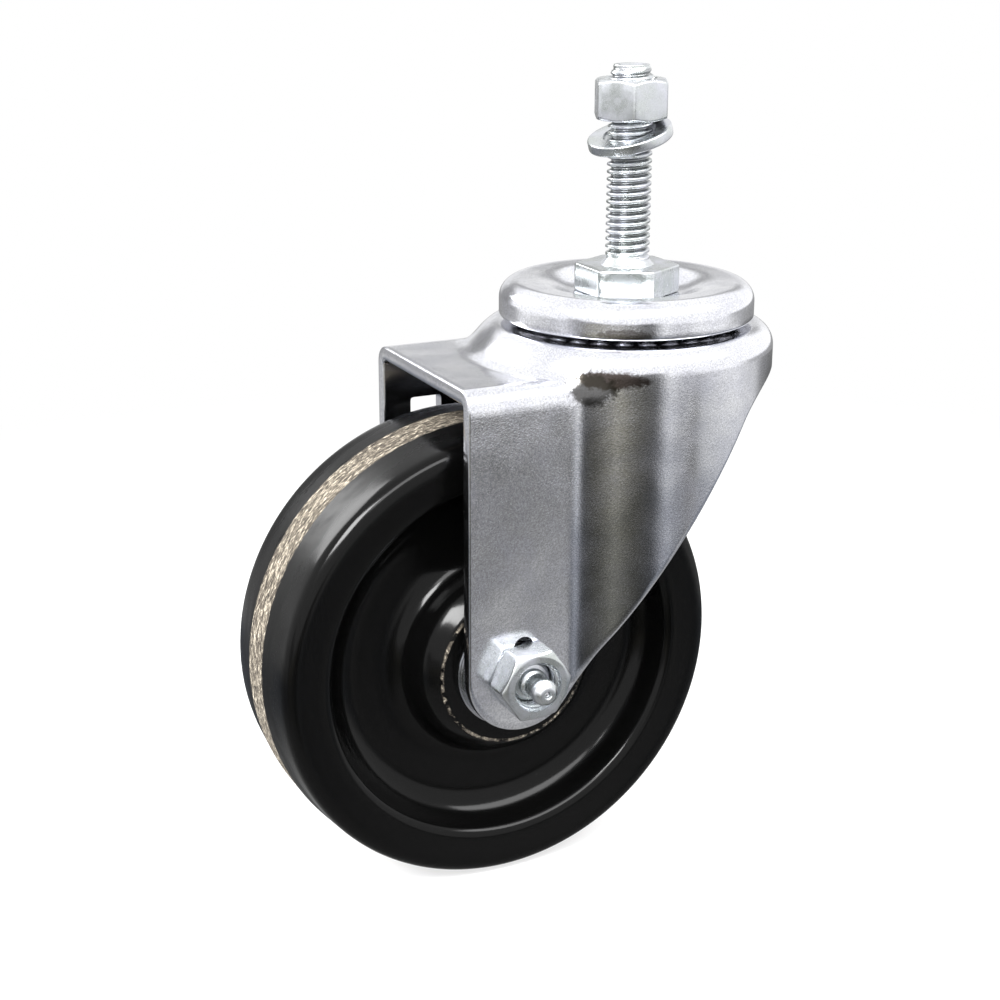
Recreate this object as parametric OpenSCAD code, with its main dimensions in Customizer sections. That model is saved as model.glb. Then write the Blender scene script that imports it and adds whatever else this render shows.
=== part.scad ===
// Threaded stem castor: swivel fork, grooved moulded wheel and a roller bearing on a greased axle.
// Origin: centre of the hex shoulder's top face, where the stem leaves it. +Z runs up the stem,
// the axle runs along Y, and the wheel trails towards -X. All sizes are in millimetres.

/* [Threaded stem] */
// Diameter over the thread crests
stem_d = 9.525; // [9.2:0.005:9.9]
// Height of the stem above its shoulder
stem_l = 42; // [41:0.5:60]
// How much slimmer the thread is where the nut starts on it
lead_step = 0.325; // [0.32:0.005:0.5]
// Length of thread that stays bare under the nut and its washer
bare_l = 23; // [15:0.5:23]
// Height of the tapered tip
tip_h = 1.6; // [0.5:0.1:2.5]
// Size of the hex shoulder across its flats
shoulder_af = 19.8; // [18:0.1:21]
// Height of the hex shoulder
shoulder_h = 6; // [5:0.5:8]
// Turn of the shoulder about the stem
shoulder_turn = 30; // [0:1:59]
// Diameter of the kingpin below the shoulder
kingpin_d = 12; // [10:0.5:13]
// Clearance of the kingpin in the cap and the lower race
kingpin_gap = 0.04; // [0.02:0.01:0.08]
// Diameter of the kingpin's peened head
peen_d = 18; // [16:0.5:20]
// Height of the peened head
peen_h = 3.2; // [2:0.2:4]

/* [Stem nut and washer] */
// Size of the stem nut across its flats
nut_af = 14.6; // [13:0.1:16]
// Height of the stem nut
nut_h = 8.6; // [6:0.2:10]
// Height of the nut's lower face above the shoulder
nut_z = 30.6; // [30.6:0.1:32]
// Turn of the nut about the stem
nut_turn = 7; // [0:1:59]
// Clearance of the nut on the stem's thread
thread_gap = 0.05; // [0.03:0.01:0.09]
// Outer diameter of the split washer
washer_d = 18.2; // [17:0.1:18.2]
// Diameter of the washer's hole
washer_bore = 11; // [11:0.1:12]
// Thickness of the washer's wire
washer_t = 2.2; // [1.6:0.1:2.2]
// Lean of the loose washer on the thread
washer_lean = 17; // [10:0.5:17]
// Direction of the washer's low side, turned from +X
washer_low = 194; // [0:1:359]
// Width of the split in the washer
washer_split = 1.4; // [0.6:0.1:2]
// Gap between the washer's high side and the nut
washer_gap = 0.15; // [0.1:0.05:0.3]

/* [Swivel head] */
// Thickness of the pressed cap
cap_t = 2.6; // [2:0.1:2.7]
// Outer radius of the cap
cap_r = 27.6; // [27:0.1:28.5]
// Radius of the cap's rolled outer edge
cap_roll = 4; // [3.4:0.1:4.4]
// Height of the cap's raised ring above the shoulder's seat
cap_rise = 2.7; // [2.2:0.1:3.2]
// Length of the straight skirt below the rolled edge
cap_skirt = 3.6; // [2:0.1:3.8]
// Radius of the flat seat inside the dished cap
cap_seat_r = 12.4; // [12:0.1:13]
// Radius at which the dish reaches the raised ring
cap_dish_r = 17.6; // [16:0.1:18.4]
// Diameter of the balls in the upper row
upper_ball_d = 4.8; // [4.6:0.1:4.9]
// Diameter of the balls in the lower row
lower_ball_d = 6; // [5.6:0.1:6]
// Radius of the upper row of balls
upper_row_r = 21.5; // [21:0.1:22]
// Radius of the lower row of balls
lower_row_r = 13.2; // [13:0.1:13.6]
// Gap between neighbouring balls
ball_gap = 0.12; // [0.05:0.01:0.5]
// Running clearance of the balls in their races
race_gap = 0.05; // [0.03:0.01:0.1]
// Thickness of the lower race
lower_race_t = 2.5; // [2:0.1:3]
// Outer radius of the lower race
lower_race_r = 18.8; // [18.4:0.1:19.2]

/* [Fork] */
// Distance from the shoulder's top face down to the axle
axle_drop = 80.3; // [79:0.1:90]
// Distance that the axle trails behind the stem
trail = 36; // [34:0.5:38]
// Width over the outside of the legs
fork_w = 48; // [47:0.5:49]
// Thickness of the pressed sheet
sheet_t = 3; // [2.5:0.1:3.2]
// Drop from the shoulder's top face to the top of the web
web_drop = 18; // [17.6:0.1:19]
// Distance from the axle to the front edge of the legs
leg_front = 12.5; // [11:0.5:14]
// Radius of the rounded foot of each leg
leg_round_r = 12.5; // [11.5:0.5:14]
// Radius of the bends between web and legs
bend_r = 4; // [3.2:0.1:5]
// Outer radius of the round crown
crown_r = 32; // [31.5:0.1:33]
// Radius of the crown's rolled shoulder
crown_roll = 4.5; // [4:0.1:5]
// Drop from the crown's raceway plateau to its outer top
crown_step = 2.6; // [2.4:0.1:2.8]
// Gap between the cap's seat and the crown's plateau
crown_gap = 1; // [0.8:0.1:1.2]
// Radius of the hole in the crown for the kingpin
crown_hole_r = 7.5; // [7:0.1:8]
// Drop from the crown's outer top to the lower edge of its rear skirt
skirt_drop = 9.3; // [9:0.1:11]
// Slope of the legs' rear edges
leg_slope = 56.3; // [54:0.1:58]
// Radius of the sweep between rear edge and rear skirt
sweep_r = 20; // [10:1:26]
// Radius of the fillet between the crown and the web
flare_r = 5; // [2:0.1:6]
// Width of the locating notch above each axle hole
notch_w = 4.6; // [3:0.1:6]
// Height of that notch's end above the axle
notch_h = 8.7; // [8.4:0.1:9.5]
// Length of the window in the far leg
window_l = 7.4; // [5:0.2:9]
// Height of the window in the far leg
window_h = 11; // [6:0.5:14]
// Drop from the web's top to the window
window_drop = 12.3; // [10:0.1:16]
// Distance from the legs' front edge to the window
window_in = 6.4; // [5:0.2:9]

/* [Axle] */
// Diameter of the axle bolt
axle_d = 9.525; // [9:0.005:10]
// Size of the bolt's head and nut across their flats
axle_af = 14.3; // [13.5:0.1:15]
// Height of the bolt's head
head_h = 6; // [5:0.2:7]
// Height of the axle nut
axle_nut_h = 7; // [6:0.2:8]
// Turn of the axle nut
axle_nut_turn = 4; // [-30:1:30]
// How far the bolt's end lies inside the nut
end_recess = 3; // [1:0.2:4]
// Diameter of the grease drilling
drill_d = 3.2; // [2.5:0.1:3.6]
// Outer diameter of the bushing on the bolt
bushing_d = 12.7; // [12.4:0.1:13]
// Thickness of the washers beside the hub
thrust_t = 1.2; // [1:0.1:1.3]
// Outer diameter of those washers
thrust_d = 25; // [22:0.5:26]
// Clearance on each side of those washers
side_gap = 0.15; // [0.1:0.05:0.3]
// Clearance between the axle's parts
axle_gap = 0.05; // [0.03:0.01:0.09]

/* [Grease fitting] */
// Height of the fitting beyond the bolt's end
fitting_l = 7.6; // [6:0.1:8]
// Diameter of the fitting's head
fitting_d = 5.6; // [5:0.1:6]
// Diameter of the mouth in its tip
mouth_d = 1.3; // [1:0.1:1.5]
// Diameter of the check ball behind the mouth
check_d = 1.7; // [1.6:0.1:2]

/* [Wheel] */
// Diameter of the wheel over its tread
wheel_d = 101.6; // [98:0.2:104]
// Width of the tread
tread_w = 31.75; // [30:0.25:34]
// Radius of the tread's shoulders
shoulder_r = 2.4; // [1.5:0.1:3]
// Width of the turned band round the tread's middle
band_w = 8; // [6:0.5:12]
// How much the tread falls away from that band to its shoulders
tread_drop = 1.2; // [0.4:0.1:1.6]
// Width of the flat ring beside the tread shoulder
face_ring_w = 7.2; // [5:0.1:8]
// Slope of the wall between that ring and the web, in millimetres
wall_run = 3.8; // [2:0.1:5]
// Thickness of the wheel's web
web_w = 17; // [15:0.5:20]
// Radius of the hub at its ends
hub_r = 17; // [16:0.1:18]
// How much wider the hub is where it meets the web
hub_draft = 4.6; // [4:0.1:6]
// Size of the bevel round the hub's ends
hub_bevel = 3.4; // [2:0.1:3.8]
// Radius of the fillets between hub and web
hub_fillet = 4.2; // [2:0.1:4.6]
// Radius of the fillets between web and wall
recess_fillet = 3; // [1:0.1:3.4]

/* [Bearing] */
// Diameter of each roller
roller_d = 3.5; // [3:0.1:3.8]
// Length of each roller
roller_l = 26; // [20:0.5:30]
// Number of rollers
roller_n = 10; // [8:1:10]
// Running clearance of the rollers
roller_gap = 0.03; // [0.02:0.01:0.06]
// Thickness of the race pressed into the hub
race_t = 1.5; // [1:0.1:2]
// Thickness of the roller cage
cage_t = 1.4; // [1:0.1:1.8]
// Clearance round each roller in the cage
pocket_gap = 0.2; // [0.15:0.05:0.3]
// Thickness of the discs that close the hub's ends
disc_t = 1.5; // [1:0.1:2]
// How much wider those discs are than the race
disc_lip = 1.6; // [1:0.1:2.5]

/* [Hidden] */

$fn = 96;
cut = 0.5;                                   // how far a cutting solid runs past the face it cuts
zinc = [0.80, 0.81, 0.85];
steel = [0.62, 0.62, 0.64];
phenolic = [0.05, 0.05, 0.055];

// Heights in the swivel head, all counted from the shoulder's top face
seat_z = -shoulder_h;
crest_z = seat_z + cap_rise;
edge_z = crest_z - cap_roll - cap_skirt;
upper_z = crest_z - cap_t - upper_ball_d / 2 - race_gap;
plateau_z = seat_z - cap_t - crown_gap;
crown_z = plateau_z - crown_step;
lower_z = plateau_z - sheet_t - lower_ball_d / 2 - race_gap;
race_floor_z = lower_z - lower_ball_d / 2 - race_gap;
peen_z = race_floor_z - lower_race_t;
upper_n = floor(180 / asin((upper_ball_d + ball_gap) / 2 / upper_row_r));
lower_n = floor(180 / asin((lower_ball_d + ball_gap) / 2 / lower_row_r));

// Places on the fork
web_z = -web_drop;
front_x = -trail - leg_front;
axle_z = -axle_drop;
leg_y = fork_w / 2;
inner_y = leg_y - sheet_t;
hub_l = 2 * (inner_y - thrust_t - 2 * side_gap);
skirt_z = crown_z - skirt_drop;
side_l = 2 * fork_w;                         // length of the solids that cut the fork's side outline

// Places along the axle
bolt_end_y = -leg_y - axle_nut_h + end_recess;
nut_bore_d = axle_d + 2 * axle_gap;
bushing_bore_d = axle_d + 2 * axle_gap;
thrust_y = (hub_l / 2 + inner_y) / 2;
row_r = bushing_d / 2 + roller_gap + roller_d / 2;
race_in_r = row_r + roller_d / 2 + roller_gap;
race_out_r = race_in_r + race_t;
race_l = hub_l - 2 * disc_t;
disc_r = race_out_r + disc_lip;
pocket_l = roller_l + 2 * pocket_gap;
cage_l = race_l - 2 * pocket_gap - 1;

// Unit vector from one point towards another
function toward(a, b) = (b - a) / norm(b - a);

// Points of the arc that rounds the corner b between a and c with radius r
function corner(a, b, c, r, n) =
    let (
        u = toward(b, a),
        v = toward(b, c),
        half = acos(max(-1, min(1, u * v))) / 2,
        mid = b + (u + v) / norm(u + v) * r / sin(half),
        p = b + u * r / tan(half) - mid,
        q = b + v * r / tan(half) - mid,
        a0 = atan2(p[1], p[0]),
        turn = atan2(p[0] * q[1] - p[1] * q[0], p * q)
    )
    [for (i = [0 : n]) mid + r * [cos(a0 + turn * i / n), sin(a0 + turn * i / n)]];

// Closed outline through points [x, y, radius], with each corner rounded to its radius
function rounded(pts, n = 6) =
    let (
        count = len(pts),
        at = function (i) [pts[i % count][0], pts[i % count][1]]
    )
    [for (i = [0 : count - 1])
        each (pts[i][2] > 0
            ? corner(at(i + count - 1), at(i), at(i + 1), pts[i][2], n)
            : [at(i)])];

// Turns a shape drawn along Z so that it lies along +Y on the axle's line
module on_axle() {
    translate([-trail, 0, axle_z])
        rotate([-90, 0, 0])
            children();
}

// Ring with a round hole, standing on the XY plane
module ring(outer_d, inner_d, h) {
    difference() {
        cylinder(d = outer_d, h = h);
        translate([0, 0, -cut])
            cylinder(d = inner_d, h = h + 2 * cut);
    }
}

// Hexagon whose corners are chamfered at both ends, as on a turned nut
module hex_body(af, h, chamfer_top = true, chamfer_bottom = true) {
    slope = tan(30);
    reach = af / 2 / cos(30);
    intersection() {
        cylinder(r = reach, h = h, $fn = 6);
        rotate_extrude()
            polygon([
                [0, 0],
                [chamfer_bottom ? af / 2 * 0.97 : reach + 1, 0],
                [reach + 1, chamfer_bottom ? (reach + 1 - af / 2 * 0.97) * slope : 0],
                [reach + 1, h - (chamfer_top ? (reach + 1 - af / 2 * 0.97) * slope : 0)],
                [chamfer_top ? af / 2 * 0.97 : reach + 1, h],
                [0, h]
            ]);
    }
}

// Row of balls on a circle
module ball_row(row_r, ball_d, z, count) {
    for (i = [0 : count - 1])
        rotate([0, 0, i * 360 / count])
            translate([row_r, 0, z])
                sphere(d = ball_d, $fn = 48);
}

// Threaded stem, its hex shoulder and the kingpin, turned from one bar and peened over
module stem_bolt() {
    color(zinc) {
        rotate_extrude()
            polygon([
                [0, peen_z],
                [kingpin_d / 2, peen_z],
                [kingpin_d / 2, seat_z / 2],
                [stem_d / 2, seat_z / 2],
                [stem_d / 2, bare_l],
                [(stem_d - lead_step) / 2, bare_l],
                [(stem_d - lead_step) / 2, stem_l - tip_h],
                [(stem_d - lead_step) / 2 - tip_h * 0.6, stem_l],
                [0, stem_l]
            ]);
        translate([0, 0, seat_z])
            rotate([0, 0, shoulder_turn])
                cylinder(d = shoulder_af / cos(30), h = shoulder_h, $fn = 6);
        translate([0, 0, peen_z - peen_h])
            rotate_extrude()
                polygon(rounded([
                    [0, 0, 0],
                    [peen_d / 2 - 3.6, 0, 2],
                    [peen_d / 2, peen_h * 0.62, 1.2],
                    [peen_d / 2 - 0.2, peen_h, 0],
                    [0, peen_h, 0]
                ]));
    }
}

// Hex nut near the top of the stem; its thread runs on the stem's crests
module stem_nut() {
    color(zinc)
        translate([0, 0, nut_z])
            difference() {
                rotate([0, 0, nut_turn])
                    hex_body(nut_af, nut_h);
                translate([0, 0, -cut])
                    cylinder(d = stem_d + 2 * thread_gap, h = nut_h + 2 * cut);
            }
}

// Split spring washer that hangs loose and leaning on the thread under the nut
module lock_washer() {
    rise = nut_af / 2 * tan(washer_lean) + washer_t / 2 / cos(washer_lean);
    color(zinc)
        rotate([0, 0, washer_low])
            translate([0, 0, nut_z - rise - washer_gap])
                rotate([0, washer_lean, 0])
                    difference() {
                        translate([0, 0, -washer_t / 2])
                            ring(washer_d, washer_bore, washer_t);
                        rotate([0, 0, 250])
                            translate([0, -washer_split / 2, -washer_t])
                                cube([washer_d, washer_split, 2 * washer_t]);
                    }
}

// Half section of the cap's outer face, drawn inwards by the distance given
function cap_face(inset) =
    let (
        lean = atan2(cap_rise, cap_dish_r - cap_seat_r),
        shift = inset * tan(lean / 2)
    )
    rounded([
        [0, seat_z - inset, 0],
        [cap_seat_r + shift, seat_z - inset, 4 + inset],
        [cap_dish_r + shift, crest_z - inset, 7 - inset],
        [cap_r - inset, crest_z - inset, cap_roll - inset],
        [cap_r - inset, edge_z, 0]
    ]);

// Pressed cap: a dished plate with a raised ring that the upper balls run under
module top_cap() {
    outer = cap_face(0);
    inner = cap_face(cap_t);
    color(zinc)
        difference() {
            rotate_extrude()
                polygon(concat(
                    [for (i = [1 : len(outer) - 2]) outer[i]],
                    rounded([
                        [cap_r, crest_z - cap_roll - 0.2, 0],
                        [cap_r, edge_z, 0.6],
                        [cap_r - cap_t, edge_z, 0.6],
                        [cap_r - cap_t, crest_z - cap_roll - 0.2, 0]
                    ]),
                    [for (i = [len(inner) - 2 : -1 : 1]) inner[i]],
                    [inner[0], outer[0]]
                ));
            translate([0, 0, seat_z - cap_t - cut])
                cylinder(d = kingpin_d + 2 * kingpin_gap, h = cap_t + 2 * cut);
        }
}

// Upper row of balls, between the cap and the crown
module upper_balls() {
    color(steel)
        ball_row(upper_row_r, upper_ball_d, upper_z, upper_n);
}

// Lower row of balls, between the crown and the lower race
module lower_balls() {
    color(steel)
        ball_row(lower_row_r, lower_ball_d, lower_z, lower_n);
}

// Lower race: a dished ring that the peened kingpin holds up against the balls
module lower_race() {
    rim_z = lower_z - 0.5;
    color(zinc)
        difference() {
            rotate_extrude()
                polygon(rounded([
                    [kingpin_d / 2 + kingpin_gap, peen_z, 0],
                    [lower_race_r, peen_z, 2.4],
                    [lower_race_r, rim_z, 0.5],
                    [lower_race_r - 2, rim_z, 0.5],
                    [lower_race_r - 2.2, race_floor_z, 1.8],
                    [kingpin_d / 2 + kingpin_gap, race_floor_z, 0]
                ]));
            rotate_extrude()
                translate([lower_row_r, lower_z])
                    circle(r = lower_ball_d / 2 + race_gap, $fn = 64);
        }
}

// Half section of the crown's solid, drawn inwards by the distance given
function crown_face(inset, foot_z) =
    rounded([
        [0, foot_z, 0],
        [crown_r - inset, foot_z, 0],
        [crown_r - inset, crown_z - inset, max(crown_roll - inset, 0.5)],
        [upper_row_r + 4, crown_z - inset, 1.2],
        [upper_row_r - 0.8 - inset * 0.25, plateau_z - inset, 1.2],
        [0, plateau_z - inset, 0]
    ]);

// Outline of the folded channel across the legs, drawn inwards by the distance given
module channel_section(inset) {
    half = leg_y - inset;
    top = web_z - inset;
    round_r = max(bend_r - inset, 0.6);
    polygon(rounded([
        [-half, axle_z - 2 * leg_round_r, 0],
        [half, axle_z - 2 * leg_round_r, 0],
        [half, top, round_r],
        [-half, top, round_r]
    ], 8));
}

// The channel as a solid from the front edge to the crown's middle
module channel(inset, front, back) {
    translate([front, 0, 0])
        rotate([90, 0, 90])
            linear_extrude(back - front)
                channel_section(inset);
}

// Side outline of the fork: straight front, round foot, sloping rear edge and rear skirt
module side_outline() {
    foot = [-trail, axle_z] + leg_round_r * 0.93 * [sin(leg_slope), -cos(leg_slope)];
    rise = skirt_z - foot[1];
    elbow = [foot[0] + rise / tan(leg_slope), skirt_z];
    rotate([90, 0, 0])
        translate([0, 0, -side_l / 2])
            linear_extrude(side_l)
                polygon(rounded([
                    [front_x, cut, 0],
                    [front_x, axle_z, 0],
                    [-trail, axle_z - leg_round_r * 0.5, 0],
                    [foot[0], foot[1], 0],
                    [elbow[0], elbow[1], sweep_r],
                    [crown_r + 1, skirt_z, 0],
                    [crown_r + 1, cut, 0]
                ], 10));
    translate([-trail, side_l / 2, axle_z])
        rotate([90, 0, 0])
            cylinder(r = leg_round_r, h = side_l);
}

// Concave fillet where the crown rises out of the web
module crown_flare() {
    roll = [crown_r - crown_roll, crown_z - crown_roll];
    rise = web_z + flare_r - roll[1];
    mid = roll + [sqrt(pow(crown_roll + flare_r, 2) - rise * rise), rise];
    touch = roll + crown_roll * toward(roll, mid);
    intersection() {
        rotate_extrude()
            difference() {
                polygon([
                    [crown_r - sheet_t / 2, web_z - sheet_t / 2],
                    [mid[0], web_z - sheet_t / 2],
                    mid,
                    touch,
                    [crown_r - sheet_t / 2, touch[1]]
                ]);
                translate(mid)
                    circle(r = flare_r);
            }
        translate([-mid[0] - cut, -leg_y + bend_r, web_z - sheet_t])
            cube([mid[0], fork_w - 2 * bend_r, 2 * flare_r + sheet_t]);
    }
}

// Hole for the axle bolt with its locating notch, cut through a leg
module axle_hole(y) {
    translate([-trail, y, axle_z])
        rotate([-90, 0, 0]) {
            cylinder(d = axle_d + 0.3, h = sheet_t + 2 * cut);
            translate([-notch_w / 2, -notch_h + notch_w / 2, 0])
                cube([notch_w, notch_h - notch_w / 2, sheet_t + 2 * cut]);
            translate([0, -notch_h + notch_w / 2, 0])
                cylinder(d = notch_w, h = sheet_t + 2 * cut);
        }
}

// Fork: one sheet pressed into a round crown, a flat web and two legs
module fork() {
    deep_z = axle_z - 2 * leg_round_r;
    color(zinc)
        difference() {
            intersection() {
                union() {
                    channel(0, front_x - cut, 0);
                    rotate_extrude()
                        polygon(crown_face(0, deep_z));
                    crown_flare();
                }
                side_outline();
            }
            channel(sheet_t, front_x - 2 * cut, 0);
            rotate_extrude()
                polygon(crown_face(sheet_t, deep_z - cut));
            rotate_extrude()
                translate([upper_row_r, upper_z])
                    circle(r = upper_ball_d / 2 + race_gap, $fn = 64);
            translate([0, 0, plateau_z - sheet_t - cut])
                cylinder(r = crown_hole_r, h = sheet_t + 2 * cut);
            axle_hole(-leg_y - cut);
            axle_hole(inner_y - cut);
            translate([front_x + window_in, inner_y - cut, web_z - window_drop - window_h])
                cube([window_l, sheet_t + 2 * cut, window_h]);
        }
}

// Axle bolt, drilled from its threaded end to a cross hole under the rollers
module axle_bolt() {
    length = leg_y + head_h / 2 - bolt_end_y;
    color(zinc)
        on_axle()
            difference() {
                union() {
                    translate([0, 0, bolt_end_y])
                        cylinder(d = axle_d, h = length);
                    translate([0, 0, leg_y])
                        hex_body(axle_af, head_h, true, false);
                }
                translate([0, 0, bolt_end_y - cut])
                    cylinder(d = drill_d, h = -bolt_end_y + cut + 2);
                rotate([0, 90, 0])
                    cylinder(d = drill_d, h = axle_d + 2, center = true);
            }
}

// Nut on the near end of the axle bolt
module axle_nut() {
    color(zinc)
        on_axle()
            translate([0, 0, -leg_y - axle_nut_h])
                difference() {
                    rotate([0, 0, -axle_nut_turn])
                        hex_body(axle_af, axle_nut_h, false, true);
                    translate([0, 0, -cut])
                        cylinder(d = nut_bore_d, h = axle_nut_h + 2 * cut);
                }
}

// Grease fitting pressed into the bolt's drilled end
module grease_fitting() {
    tip_r = mouth_d / 2 + 0.65;
    neck_r = fitting_d / 2 - 0.7;
    color(zinc)
        on_axle()
            translate([0, 0, bolt_end_y - fitting_l])
                rotate_extrude()
                    polygon([
                        [mouth_d / 2, 0],
                        [tip_r, 0],
                        [fitting_d / 2, 1.6],
                        [fitting_d / 2, 2.3],
                        [neck_r, 3.1],
                        [neck_r, fitting_l - 1],
                        [fitting_d / 2 + 0.3, fitting_l - 0.8],
                        [fitting_d / 2 + 0.3, fitting_l],
                        [drill_d / 2, fitting_l],
                        [drill_d / 2, fitting_l + 3.5],
                        [check_d / 2 + 0.05, fitting_l + 3.5],
                        [check_d / 2 + 0.05, check_d / 2 + 0.5],
                        [mouth_d / 2, 0.35]
                    ]);
}

// Ball that closes the fitting's mouth from inside
module check_ball() {
    color(steel)
        on_axle()
            translate([0, 0, bolt_end_y - fitting_l + check_d / 2 + 0.42])
                sphere(d = check_d, $fn = 32);
}

// Bushing clamped between the legs; the rollers run on it
module axle_bushing() {
    color(steel)
        on_axle()
            difference() {
                translate([0, 0, -inner_y])
                    ring(bushing_d, bushing_bore_d, 2 * inner_y);
                rotate([0, 90, 0])
                    cylinder(d = drill_d, h = bushing_d + 2, center = true);
            }
}

// Flat washer between the hub and a leg; side is -1 for the near one and 1 for the far one
module thrust_washer(side) {
    color(zinc)
        on_axle()
            translate([0, 0, side * thrust_y - thrust_t / 2])
                ring(thrust_d, bushing_d + 0.4, thrust_t);
}

// Half section of the wheel, from its bore out to the tread
function wheel_half() =
    let (
        face_y = tread_w / 2,
        web_y = web_w / 2,
        tread_r = wheel_d / 2,
        ring_r = tread_r - tread_drop - shoulder_r - face_ring_w
    )
    [
        [race_out_r, 0, 0],
        [race_out_r, race_l / 2, 0],
        [disc_r, race_l / 2, 0],
        [disc_r, hub_l / 2, 0.3],
        [hub_r, hub_l / 2, 0.8],
        [hub_r + hub_bevel, hub_l / 2 - hub_bevel, 2],
        [hub_r + hub_draft, web_y, hub_fillet],
        [ring_r - wall_run, web_y, recess_fillet],
        [ring_r, face_y, 1.6],
        [tread_r - tread_drop, face_y, shoulder_r],
        [tread_r, band_w / 2, 0],
        [tread_r, 0, 0]
    ];

// Wheel: one moulding with a flat tread, recessed web and drafted hub
module wheel() {
    half = wheel_half();
    last = len(half) - 2;
    far = [for (i = [1 : last]) half[i]];
    near = [for (i = [last : -1 : 1]) [half[i][0], -half[i][1], half[i][2]]];
    color(phenolic)
        on_axle()
            rotate_extrude($fn = 128)
                polygon(rounded(concat(far, near)));
}

// Race pressed into the hub
module bearing_race() {
    color(steel)
        on_axle()
            translate([0, 0, -race_l / 2])
                ring(2 * race_out_r, 2 * race_in_r, race_l);
}

// Cage that spaces the rollers, with one pocket for each
module roller_cage() {
    color(steel)
        on_axle()
            difference() {
                translate([0, 0, -cage_l / 2])
                    ring(2 * row_r + cage_t, 2 * row_r - cage_t, cage_l);
                for (i = [0 : roller_n - 1])
                    rotate([0, 0, i * 360 / roller_n])
                        translate([row_r, 0, 0])
                            cube([3 * cage_t, roller_d + 2 * pocket_gap, pocket_l], center = true);
            }
}

// Rollers between the bushing and the race
module bearing_rollers() {
    color(steel)
        on_axle()
            for (i = [0 : roller_n - 1])
                rotate([0, 0, i * 360 / roller_n])
                    translate([row_r, 0, -roller_l / 2])
                        cylinder(d = roller_d, h = roller_l, $fn = 32);
}

// Disc pressed into one end of the hub, which keeps the rollers in
module hub_disc(side) {
    color(steel)
        on_axle()
            translate([0, 0, side * (hub_l - disc_t) / 2 - disc_t / 2])
                ring(2 * disc_r, bushing_d + 0.6, disc_t);
}

stem_bolt();
stem_nut();
lock_washer();
top_cap();
upper_balls();
lower_balls();
lower_race();
fork();
axle_bolt();
axle_nut();
grease_fitting();
check_ball();
axle_bushing();
thrust_washer(-1);  // near_thrust_washer
thrust_washer(1);  // far_thrust_washer
wheel();
bearing_race();
roller_cage();
bearing_rollers();
hub_disc(-1);  // near_hub_disc
hub_disc(1);  // far_hub_disc
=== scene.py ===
"""Threaded stem castor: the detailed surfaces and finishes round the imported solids."""

import math
from functools import partial

import bmesh
import bpy
import numpy as np
from bpy.props import FloatProperty, FloatVectorProperty, IntProperty, PointerProperty
from bpy.types import Operator, Panel, PropertyGroup
from mathutils import Matrix


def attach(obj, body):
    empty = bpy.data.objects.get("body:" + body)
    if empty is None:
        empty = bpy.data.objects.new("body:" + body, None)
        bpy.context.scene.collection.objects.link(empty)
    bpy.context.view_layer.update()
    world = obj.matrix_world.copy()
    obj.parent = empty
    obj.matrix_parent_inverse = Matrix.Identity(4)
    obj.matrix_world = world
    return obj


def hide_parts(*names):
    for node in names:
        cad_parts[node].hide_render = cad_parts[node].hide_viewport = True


bl_info = {
    "name": "Threaded stem castor",
    "version": (1, 0, 0),
    "blender": (4, 5, 0),
    "location": "3D View > Sidebar > Castor",
    "description": "Builds the castor's detailed surfaces, finishes and studio",
    "category": "Object",
}

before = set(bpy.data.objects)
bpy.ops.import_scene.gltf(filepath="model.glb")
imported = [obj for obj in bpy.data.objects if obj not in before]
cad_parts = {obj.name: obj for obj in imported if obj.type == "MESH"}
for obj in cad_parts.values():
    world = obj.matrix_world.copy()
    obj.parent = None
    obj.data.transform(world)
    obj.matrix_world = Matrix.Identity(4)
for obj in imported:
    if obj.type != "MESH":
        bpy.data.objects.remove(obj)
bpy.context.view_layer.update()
MM = 0.001

# Sizes of the finishes' patterns in millimetres: specks in the plate, the ragged edge of its stains,
# the pressed sheet's slow sway and how deep that goes, the film of oil on bearing steel, cut fibres
# (drawn coarser than real ones, to show), the fibre band's ragged edge, scuffed clouds on the tread,
# and the moulded skin's orange peel and how deep that goes
SPECK_MM, TEAR_MM, SWAY_MM, SWAY_DEPTH, FILM_MM = 0.34, 1.6, 11.0, 0.1, 3.0
FIBRE_MM, RAGGED_MM, CLOUD_MM, PEEL_MM, PEEL_DEPTH = 0.5, 2.2, 5.0, 2.6, 0.02

# Bend in degrees over which an edge of the fork is drawn sharp
FORK_SHARP = 40

# Slope of the chamfers on the nuts
CHAMFER = math.radians(28)

# Three soft boxes: name, direction and height as seen from the castor in degrees, width and height in
# metres, power in watts. All stand the same distance away from the middle.
LAMPS = (("key", -75.0, 53.0, 1.4, 0.4, 19.0), ("side", -148.0, 40.0, 0.5, 0.34, 24.0),
         ("rim", 123.0, 30.0, 0.4, 0.48, 6.4))
LAMP_AWAY, MIDDLE = 1.0, (-0.03, 0.0, -0.05)
# The place that the fitted camera looks at
TARGET = (-0.03013, 0.0, -0.04954)


def length(name, description, millimetres):
    """A size property, given in millimetres and held in metres."""
    return FloatProperty(name=name, description=description, default=millimetres * MM,
                         unit="LENGTH", precision=5)


def colour(name, description, code):
    """A colour property, given as an sRGB hex value and held as linear light."""
    return FloatVectorProperty(name=name, description=description, default=linear(code)[:3],
                               subtype="COLOR", size=3, min=0.0, max=1.0)


def linear(code):
    """sRGB hex to linear: c / 12.92 below 0.04045, else ((c + 0.055) / 1.055) to the power 2.4."""
    parts = [int(code[i:i + 2], 16) / 255 for i in (1, 3, 5)]
    return tuple(c / 12.92 if c <= 0.04045 else ((c + 0.055) / 1.055) ** 2.4 for c in parts) + (1.0,)


def bend(name, description, degrees):
    """An angle property, given in degrees and held in radians."""
    return FloatProperty(name=name, description=description, default=math.radians(degrees), subtype="ANGLE")


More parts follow.
